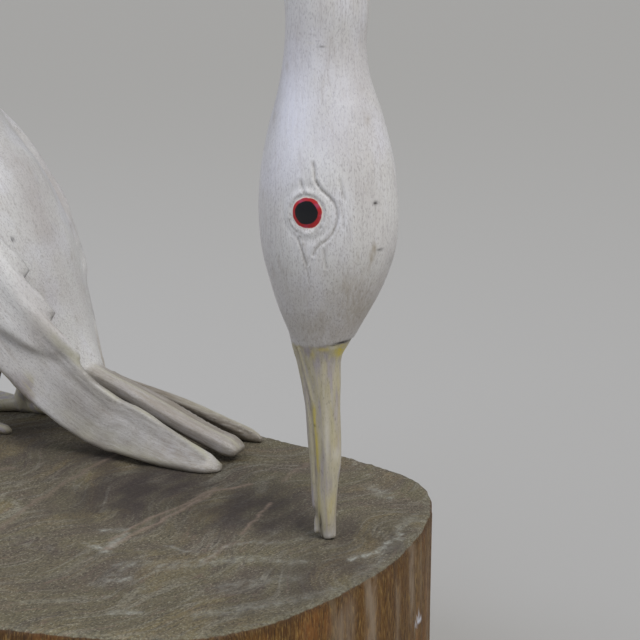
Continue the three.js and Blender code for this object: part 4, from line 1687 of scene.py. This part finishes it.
@dataclass(frozen=True)
class StumpWood:
    """Old hardwood: weathered grey end grain on top, oiled brown side wood with long fibres."""

    name: str = "weathered stump wood"
    top: str = "#665F4B"
    side: str = "#624216"
    # Dark brown for the top's dark patches, partly painted shadow under the bird.
    dark: str = "#342C2A"
    ridge: str = "#807063"
    scuff: str = "#A3A49B"
    fringe: str = "#939280"
    worn_side: str = "#8F7F6C"
    paint_fleck: str = "#C9CBD3"
    # Painted shadow on the side just below the rim.
    rim_shadow: str = "#3B2A1A"
    ior: float = 1.5
    sheen: float = 0.35
    side_rough: float = 0.62
    top_rough: float = 0.82
    relief: float = 0.4
    ragged: float = 1.4
    ragged_period: float = 3.4
    edge_depths: Pair = (0.8, 0.4)
    shaded_heights: Pair = (90.0, 94.6)
    shaded_share: float = 0.75
    top_coats: tuple[Mottle, ...] = (
        Mottle((30, 70, 38), 0.44, 0.62, "#5B5148", 0.75, 1.0, 3.0, 1.2, 0.1),
        Mottle((24, 50, 22), 0.52, 0.7, "#83744F", 0.5, 7.0, 2.0, 0.8, 0.0),
        Mottle((7, 34, 9), 0.52, 0.68, "#8F8B7E", 0.55, 12.0, 4.0, 1.5, -0.4),
        Mottle((4, 26, 6), 0.54, 0.68, "#4A423C", 0.6, 16.0, 4.0, 1.5, 0.4),
        Mottle((3, 9, 3), 0.58, 0.74, "#806A5E", 0.45, 21.0, 3.0, 1.0, 0.0),
    )
    pores: tuple[Mottle, ...] = (
        Mottle((0.75, 1.3, 1.2), 0.46, 0.66, "#332F27", 0.6, 3.0, 2.0),
        Mottle((0.7, 1.2, 1.2), 0.55, 0.7, "#B0AB94", 0.42, 19.0, 2.0, 0.0, -0.6),
    )
    side_coats: tuple[Mottle, ...] = (
        Mottle((13, 13, 150), 0.44, 0.62, "#4F3315", 0.65, 4.0, 3.0, 0.3, 0.1),
        Mottle((10, 10, 90), 0.55, 0.69, "#8E7F66", 0.55, 9.0, 3.0, 0.4, 0.0),
        Mottle((16, 16, 70), 0.54, 0.7, "#8A5526", 0.5, 13.0, 2.0, 0.0, 0.0),
        Mottle((2.0, 2.0, 40), 0.5, 0.68, "#3F2810", 0.5, 2.0, 3.0, 0.0, 0.7),
        Mottle((0.6, 0.6, 4.5), 0.5, 0.68, "#AC8C50", 0.5, 15.0, 3.0, 0.0, -0.4),
        Mottle((0.5, 0.5, 4.0), 0.52, 0.68, "#24150A", 0.6, 6.0, 2.0),
    )

    def build(self) -> bpy.types.Material:
        """Makes the material.

        Returns:
            The finished material.
        """
        # Dry matt end grain with pores above, and a duller sheen along the oiled side.
        material, tree, shader = new_material(self.name)
        shader.inputs["IOR"].default_value = self.ior
        shader.inputs["Specular IOR Level"].default_value = self.sheen
        place = add_node(tree, "TexCoord").outputs["Object"]
        growth = add_node(tree, "Attribute", {"attribute_name": Layer.GRAIN.value})
        rings = lay_mottles(tree, growth.outputs["Vector"], self.top, self.top_coats)
        top, top_height = lay_mottles(tree, place, self.top, self.pores, rings)
        side, side_height = lay_mottles(tree, place, self.side, self.side_coats)
        broken = add_node(
            tree, "TexNoise", {"Scale": 1 / (1.6 * MM), "Detail": 4.0}, {"Vector": place}
        )
        coats = (
            Coat(Layer.DARK, self.dark, 0.12),
            Coat(Layer.RIDGE, self.ridge, 0.3),
            Coat(Layer.SCUFF, self.scuff, 0.5),
            Coat(Layer.RIM, self.fringe, 0.9),
        )
        for coat in coats:
            top = coat.lay(tree, top, broken.outputs["Fac"], (0.4, 0.6))
        height = add_node(tree, "SeparateXYZ", {}, {0: place}).outputs["Z"]
        is_top = self.top_mask(tree, place, height)
        side = self.side_marks(tree, height, side)
        colour = add_node(tree, "Mix", {"data_type": "RGBA"}, {0: is_top, 6: side, 7: top})
        relief = add_node(
            tree, "Mix", {"data_type": "FLOAT"}, {0: is_top, 2: side_height, 3: top_height}
        )
        rough = add_node(
            tree,
            "MapRange",
            {"To Min": self.side_rough, "To Max": self.top_rough},
            {"Value": is_top},
        )
        dark = add_node(tree, "Attribute", {"attribute_name": Layer.DARK.value})
        depth = add_node(
            tree, "MapRange", {"To Min": 0.9, "To Max": 0.35}, {"Value": dark.outputs["Fac"]}
        )
        bump = add_node(
            tree,
            "Bump",
            {"Distance": self.relief * MM},
            {"Height": relief.outputs[0], "Strength": depth.outputs["Result"]},
        )
        tree.links.new(colour.outputs[2], shader.inputs["Base Color"])
        tree.links.new(rough.outputs["Result"], shader.inputs["Roughness"])
        tree.links.new(bump.outputs["Normal"], shader.inputs["Normal"])
        return material

    def top_mask(self, tree: Tree, place: Socket, height: Socket) -> Socket:
        """Tells the sawn top from the side along a ragged line.

        Args:
            tree: the material's node tree.
            place: the socket with the place in metres.
            height: the socket with the height in metres.

        Returns:
            A socket that is one on the top.
        """
        ragged = add_node(
            tree,
            "TexNoise",
            {"Scale": 1 / (self.ragged_period * MM), "Detail": 4.0},
            {"Vector": place},
        )
        uneven = add_node(
            tree,
            "Math",
            {"operation": "MULTIPLY_ADD", 1: self.ragged * MM},
            {0: ragged.outputs["Fac"], 2: height},
        )
        low, high = ((STUMP_TOP - depth) * MM for depth in self.edge_depths)
        mask = add_node(
            tree, "MapRange", {"From Min": low, "From Max": high}, {"Value": uneven.outputs[0]}
        )
        return mask.outputs["Result"]

    def side_marks(self, tree: Tree, height: Socket, side: Socket) -> Socket:
        """Paints shadow onto the side just below the top, and adds worn patches and a fleck of
        paint.

        Args:
            tree: the material's node tree.
            height: the socket with the height in metres.
            side: the side's colour socket.

        Returns:
            The new colour socket.
        """
        # Painted shadow: darker on the side just under the top.
        low, high = (level * MM for level in self.shaded_heights)
        under = add_node(
            tree,
            "MapRange",
            {"From Min": low, "From Max": high, "To Max": self.shaded_share},
            {"Value": height},
        )
        shaded = add_node(
            tree,
            "Mix",
            {"data_type": "RGBA", 7: linear(self.rim_shadow)},
            {0: under.outputs["Result"], 6: side},
        )
        worn = Coat(Layer.WORN, self.worn_side).lay(tree, shaded.outputs[2])
        return Coat(Layer.FLECK, self.paint_fleck).lay(tree, worn)


@dataclass(frozen=True)
class Streak:
    """A mark on the stump's top: a line of x, y points with a width and a strength."""

    line: Line
    width: float
    strength: float


@dataclass
class Stump:
    """The slice of tree stump that carries the bird."""

    voxel: float = 1.15
    quick_voxel: float = 2.2
    triangles: int = 150000
    wood: StumpWood = StumpWood()
    ridges: tuple[Streak, ...] = (
        Streak(((69, -36), (64, -2), (57, 40), (64, 58)), 0.9, 1.0),
        Streak(((63, -28), (58, -1), (58, 23), (54, 43)), 0.9, 0.85),
        Streak(((101, 11), (85, 45)), 0.8, 0.9),
        Streak(((108, -19), (105, 5)), 1.0, 0.45),
        Streak(((72, 70), (65, 95)), 1.5, 0.5),
        Streak(((20, -60), (-10, 20), (-20, 70)), 1.4, 0.5),
        Streak(((-60, -70), (-40, 0)), 1.6, 0.5),
        Streak(((-100, -40), (-120, 30)), 1.4, 0.45),
    )
    scuffs: tuple[Streak, ...] = (
        Streak(((163, 14), (160, 30), (151, 53), (143, 74)), 3.0, 0.3),
        Streak(((52, -24), (60, -17), (64, -22), (68, -33)), 1.8, 0.8),
        Streak(((60, -38), (66, -36), (72, -38)), 1.8, 0.8),
        Streak(((93, -56), (97, -49)), 1.8, 0.75),
        Streak(((84, -44), (90, -37)), 1.3, 0.5),
        Streak(((114, -74), (122, -67)), 1.7, 0.8),
        Streak(((84, -18), (97, -16), (109, -13)), 0.6, 0.55),
        Streak(((106, -22), (106, -2), (109, 9)), 1.0, 0.55),
        Streak(((109, 9), (118, 14), (124, 26)), 1.6, 0.35),
        Streak(((92, -60), (86, -40), (97, -30)), 3.0, 0.3),
        Streak(((108, 90), (122, 84)), 3.2, 0.5),
        Streak(((151.6, 54.7), (154.5, 42), (155, 31), (151.7, 19.7)), 1.9, 0.85),
        Streak(((99, -34), (108, -20), (122, -4), (138, 6)), 3.2, 0.4),
        Streak(((132, -30), (146, -8)), 4.0, 0.3),
        Streak(((140, -55), (156, -30), (165, -5)), 3.0, 0.3),
        Streak(((-30, -90), (10, -100)), 3.0, 0.5),
        Streak(((-120, -20), (-140, 10)), 3.0, 0.4),
    )
    # Dark patches of the top, partly painted shadow under and around the bird.
    dark_and_shadow_patches: tuple[tuple[float, float, float, float, float], ...] = (
        (32, 20, 38, 46, 0.94), (82, 36, 26, 36, 0.88), (104, 32, 20, 22, 0.9),
        (128, 42, 14, 13, 0.6), (-10, 45, 44, 36, 0.8), (-70, 20, 50, 34, 0.6),
        (159, 39, 5, 9, 0.85), (124, 27, 8, 7, 0.5), (144.6, 42.8, 3.5, 4.5, 0.6),
        (96, -52, 70, 44, 0.2), (152, 0, 24, 62, 0.6),
    )
    side_patches: tuple[tuple[float, float, float, float, float, float], ...] = (
        (168.6, 12.5, 3.9, 30, 96, 0.8), (162.0, 49.0, 3.4, 62, 94, 0.75),
        (165.5, 34, 2.6, 50, 84, 0.45), (168.6, -4, 6.5, 20, 90, 0.6),
        (150, 75, 4, 30, 80, 0.4), (166, -32, 4, 0, 70, 0.4),
        (120, -85, 6, 10, 90, 0.5), (60, -112, 5, 0, 70, 0.5), (-40, -122, 6, 30, 90, 0.4),
        (-140, -60, 5, 0, 80, 0.5), (-155, 40, 6, 20, 90, 0.45), (-60, 112, 6, 10, 80, 0.5),
        (40, 114, 5, 30, 96, 0.5),
    )
    fleck: Triple = (158.4, 59.2, 55.0)
    fleck_size: Pair = (4.4, 1.3)

    def build(self, contacts: Array) -> bpy.types.Object:
        """Makes the piece.

        Args:
            contacts: places in millimetres where the bird touches the stump.

        Returns:
            The stump.
        """
        piece = copy_of_node("stump_base", "tree_stump")
        voxel = self.voxel
        remesh(piece, voxel)
        carving = Carving(piece)
        points = carving.points
        height = points[:, 2]
        outward = carving.normals * np.array([1, 1, 0])
        is_side = smooth_step(0.5, 0.9, np.linalg.norm(outward, axis=1))
        is_top = smooth_step(0.6, 0.9, carving.normals[:, 2])
        fibres = ripple(points, (2.6, 2.6, 70), 31)
        bands = ripple(points, (15, 15, 160), 33)
        swell = ripple(points, (60, 60, 120), 35)
        side_push = np.minimum(-0.25 - 0.12 * fibres - 0.16 * bands - 0.15 * swell, 0)
        ridge = self.streaks(self.ridges, points)
        scratches = ripple(points, (3.2, 16, 9), 41)
        broad = ripple(points, (38, 30, 30), 43)
        top_push = -0.45 - 0.09 * scratches - 0.16 * broad + 0.4 * ridge
        rim = self.rim_gap(points)
        top_push = top_push - 0.3 * smooth_step(3, 0.5, rim) * (1 + ripple(points, (3, 3, 3), 45))
        clear = self.clearance(points, contacts)
        top_push = np.minimum(top_push, -0.02) * clear
        arris = smooth_step(4.5, 0.3, STUMP_TOP - height) * is_side
        chipped = 0.4 + 0.32 * ripple(points, (11, 11, 5), 47)
        chipped = chipped + 0.09 * ripple(points, (3, 3, 3), 49)
        side_push = side_push - arris * np.clip(chipped, 0, 1.5)
        carving.points = carving.points + carving.normals * (side_push * is_side)[:, None]
        carving.points[:, 2] += top_push * is_top
        carving.write()
        keep = np.where(height > 3, 0.7, 0.0)
        thin_out(piece, self.triangles, keep)
        self.mark(Carving(piece))
        piece.data.materials.append(self.wood.build())
        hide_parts("stump_base")
        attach(piece, "root")
        LOG.info("tree_stump: %d faces", len(piece.data.polygons))
        return piece

    def streaks(self, marks: tuple[Streak, ...], points: Array) -> Array:
        """Finds how strongly each point lies in one of the marks.

        Args:
            marks: the marks.
            points: positions in millimetres.

        Returns:
            The strongest mark's strength at each point.
        """
        total = np.zeros(len(points))
        wander = ripple(points, (14, 14, 14), 51) * 0.7
        for mark in marks:
            gap = distance_to_line(points[:, :2] + wander[:, None], mark.line)
            total = np.maximum(total, mark.strength * bell(gap, 0, mark.width))
        return total

    def rim_gap(self, points: Array) -> Array:
        """Measures how far each point near the top lies from the stump's outline.

        Args:
            points: positions in millimetres.

        Returns:
            The distances in millimetres, a large one for points lower down.
        """
        level = points * np.array([1, 1, 0])
        tree = tree_of(level[(points[:, 2] > 60) & (points[:, 2] < 62)])
        gap = np.full(len(points), 50.0)
        near = np.nonzero(points[:, 2] > STUMP_TOP - 4)[0]
        gap[near] = [tree.find(level[index])[2] for index in near]
        return gap

    def clearance(self, points: Array, contacts: Array) -> Array:
        """Keeps the relief away from the places where the bird touches.

        Args:
            points: positions in millimetres.
            contacts: the places that the bird touches.

        Returns:
            Nought at the contacts, rising to one some millimetres away.
        """
        tree = tree_of(contacts)
        near = np.nonzero(points[:, 2] > STUMP_TOP - 2)[0]
        gap = np.full(len(points), 100.0)
        gap[near] = [tree.find(points[index])[2] for index in near]
        return smooth_step(1.5, 6.0, gap)

    def mark(self, carving: Carving) -> None:
        """Stores the top's growth lines and the places of patches, ridges and scuffs.

        Args:
            carving: the thinned stump.
        """
        points = carving.points
        growth = points.copy()
        growth[:, 0] += 9 * np.sin((points[:, 1] - 8) / 26) + 5 * ripple(points, (60, 45, 60), 67)
        growth[:, 1] += 6 * ripple(points, (30, 50, 60), 69)
        carving.carry(Layer.GRAIN, growth * MM)
        carving.carry(Layer.RIDGE, self.streaks(self.ridges, points))
        worn = np.clip(0.55 + 0.45 * ripple(points, (4, 8, 6), 61), 0, 1)
        carving.carry(Layer.SCUFF, self.streaks(self.scuffs, points) * worn)
        # Dark patches, partly painted shadow that the bird casts on the top.
        dark = np.zeros(len(points))
        for x, y, wide, tall, strength in self.dark_and_shadow_patches:
            spread = ((points[:, 0] - x) / wide) ** 2 + ((points[:, 1] - y) / tall) ** 2
            dark = np.maximum(dark, strength * np.exp(-(spread**1.5)))
        dark *= np.clip(0.85 + 0.3 * ripple(points, (16, 26, 20), 63), 0, 1)
        carving.carry(Layer.DARK, np.clip(dark, 0, 1))
        patch = np.zeros(len(points))
        for x, y, wide, low, high, strength in self.side_patches:
            reach = np.hypot(points[:, 0] - x, points[:, 1] - y)
            tall = smooth_step(low - 8, low + 8, points[:, 2])
            tall = tall * smooth_step(high + 6, high - 6, points[:, 2])
            patch = np.maximum(patch, strength * np.exp(-((reach / wide) ** 4)) * tall)
        streaky = np.clip(0.75 + 0.4 * ripple(points, (1.6, 1.6, 22), 65), 0, 1)
        carving.carry(Layer.WORN, np.clip(patch * streaky, 0, 1))
        x, y, z = self.fleck
        wide, tall = self.fleck_size
        aside = np.hypot(points[:, 0] - x, points[:, 1] - y) / wide
        off = np.hypot(aside, (points[:, 2] - z) / tall)
        carving.carry(Layer.FLECK, smooth_step(1.2, 0.85, off))
        fringe = smooth_step(5, 1, self.rim_gap(points)) * 0.26
        front = smooth_step(-10, -60, points[:, 1]) + smooth_step(100, 150, points[:, 0])
        carving.carry(Layer.RIM, fringe * (0.4 + 0.6 * np.clip(front, 0, 1)))


@dataclass(frozen=True)
class Studio:
    """A plain pale floor, soft light and the camera of the photograph."""

    floor_shade: str = "#A9A8A6"
    floor_size: float = 40.0
    floor_rough: float = 0.9
    sun_from: Triple = (0.7, -0.14, 1.1)
    sun_power: float = 2.2
    sun_spread: float = math.radians(38)
    sun_shade: str = "#FFFDFA"
    fill_place: Triple = (-0.55, -0.85, 1.5)
    fill_aim: Triple = (0.05, 0.0, 0.2)
    fill_size: float = 1.2
    fill_power: float = 11.0
    fill_shade: str = "#E6ECFF"
    sky_shade: str = "#D5D8DC"
    sky_strength: float = 0.5
    picture_size: int = 640
    focal_pixels: float = 1400.0
    sensor: float = 36.0
    pitch: float = math.radians(14)
    azimuth: float = math.radians(40)
    scale: float = 0.417
    tip_pixel: Pair = (328.0, 538.0)

    def build(self) -> None:
        """Makes floor, lights and camera."""
        self.floor()
        self.daylight()
        self.fill()
        self.camera()
        world = bpy.data.worlds.new("soft sky")
        world.use_nodes = True
        background = world.node_tree.nodes["Background"]
        background.inputs["Color"].default_value = linear(self.sky_shade)
        background.inputs["Strength"].default_value = self.sky_strength
        bpy.context.scene.world = world
        bpy.context.scene.view_settings.view_transform = "Standard"

    def floor(self) -> None:
        """Lays the floor under the stump."""
        bpy.ops.object.select_all(action="DESELECT")
        bpy.ops.mesh.primitive_plane_add(size=self.floor_size, location=(0, 0, 0))
        plane = bpy.context.active_object
        plane.name = "floor"
        # A matt pale ground that throws soft light back up, without a reflection of its own.
        material, _, shader = new_material("pale plaster floor")
        shader.inputs["Base Color"].default_value = linear(self.floor_shade)
        shader.inputs["Roughness"].default_value = self.floor_rough
        plane.data.materials.append(material)

    def daylight(self) -> None:
        """Adds soft daylight from a wide bright part of the sky."""
        holder = self.lamp("soft daylight", "SUN", self.sun_power, self.sun_shade)
        holder.data.angle = self.sun_spread
        holder.rotation_euler = (-Vector(self.sun_from)).to_track_quat("-Z", "Y").to_euler()

    def fill(self) -> None:
        """Adds a soft square lamp that looks at the bird."""
        holder = self.lamp("fill light", "AREA", self.fill_power, self.fill_shade)
        holder.data.size = self.fill_size
        holder.location = self.fill_place
        aim = Vector(self.fill_aim) - holder.location
        holder.rotation_euler = aim.to_track_quat("-Z", "Y").to_euler()

    def lamp(self, name: str, kind: str, power: float, shade: str) -> bpy.types.Object:
        """Adds a lamp.

        Args:
            name: the lamp's name.
            kind: Blender's name of the lamp type.
            power: the lamp's strength.
            shade: the light's colour.

        Returns:
            The lamp's object.
        """
        lamp = bpy.data.lights.new(name, kind)
        lamp.energy = power
        lamp.color = linear(shade)[:3]
        holder = bpy.data.objects.new(name, lamp)
        bpy.context.scene.collection.objects.link(holder)
        return holder

    def camera(self) -> None:
        """Places the camera so that the beak tip falls where the photograph has it."""
        forward = Vector(
            (
                -math.sin(self.azimuth) * math.cos(self.pitch),
                math.cos(self.azimuth) * math.cos(self.pitch),
                -math.sin(self.pitch),
            )
        )
        right = Vector((math.cos(self.azimuth), math.sin(self.azimuth), 0))
        up = right.cross(forward)
        distance = self.focal_pixels * self.scale
        middle = self.picture_size / 2
        aside = (self.tip_pixel[0] - middle) * self.scale
        above = -(self.tip_pixel[1] - middle) * self.scale
        tip = Vector((*HEAD.tip, STUMP_TOP))
        place = tip - forward * distance - right * aside - up * above
        data = bpy.data.cameras.new("camera")
        data.sensor_width = self.sensor
        data.lens = self.focal_pixels / self.picture_size * self.sensor
        data.clip_start = 0.01
        holder = bpy.data.objects.new("camera", data)
        bpy.context.scene.collection.objects.link(holder)
        holder.location = place * MM
        holder.rotation_euler = forward.to_track_quat("-Z", "Y").to_euler()
        bpy.context.scene.camera = holder


def main() -> None:
    """Builds the bird, its stump and the studio."""
    Studio().build()
    bird = CarvedEgret().build()
    LOG.info("built %s", bird.name)
    points = Carving(bird).points
    contacts = points[points[:, 2] < STUMP_TOP + 0.2]
    stump = Stump().build(contacts)
    LOG.info("built %s", stump.name)
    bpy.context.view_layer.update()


if __name__ == "__main__":
    main()
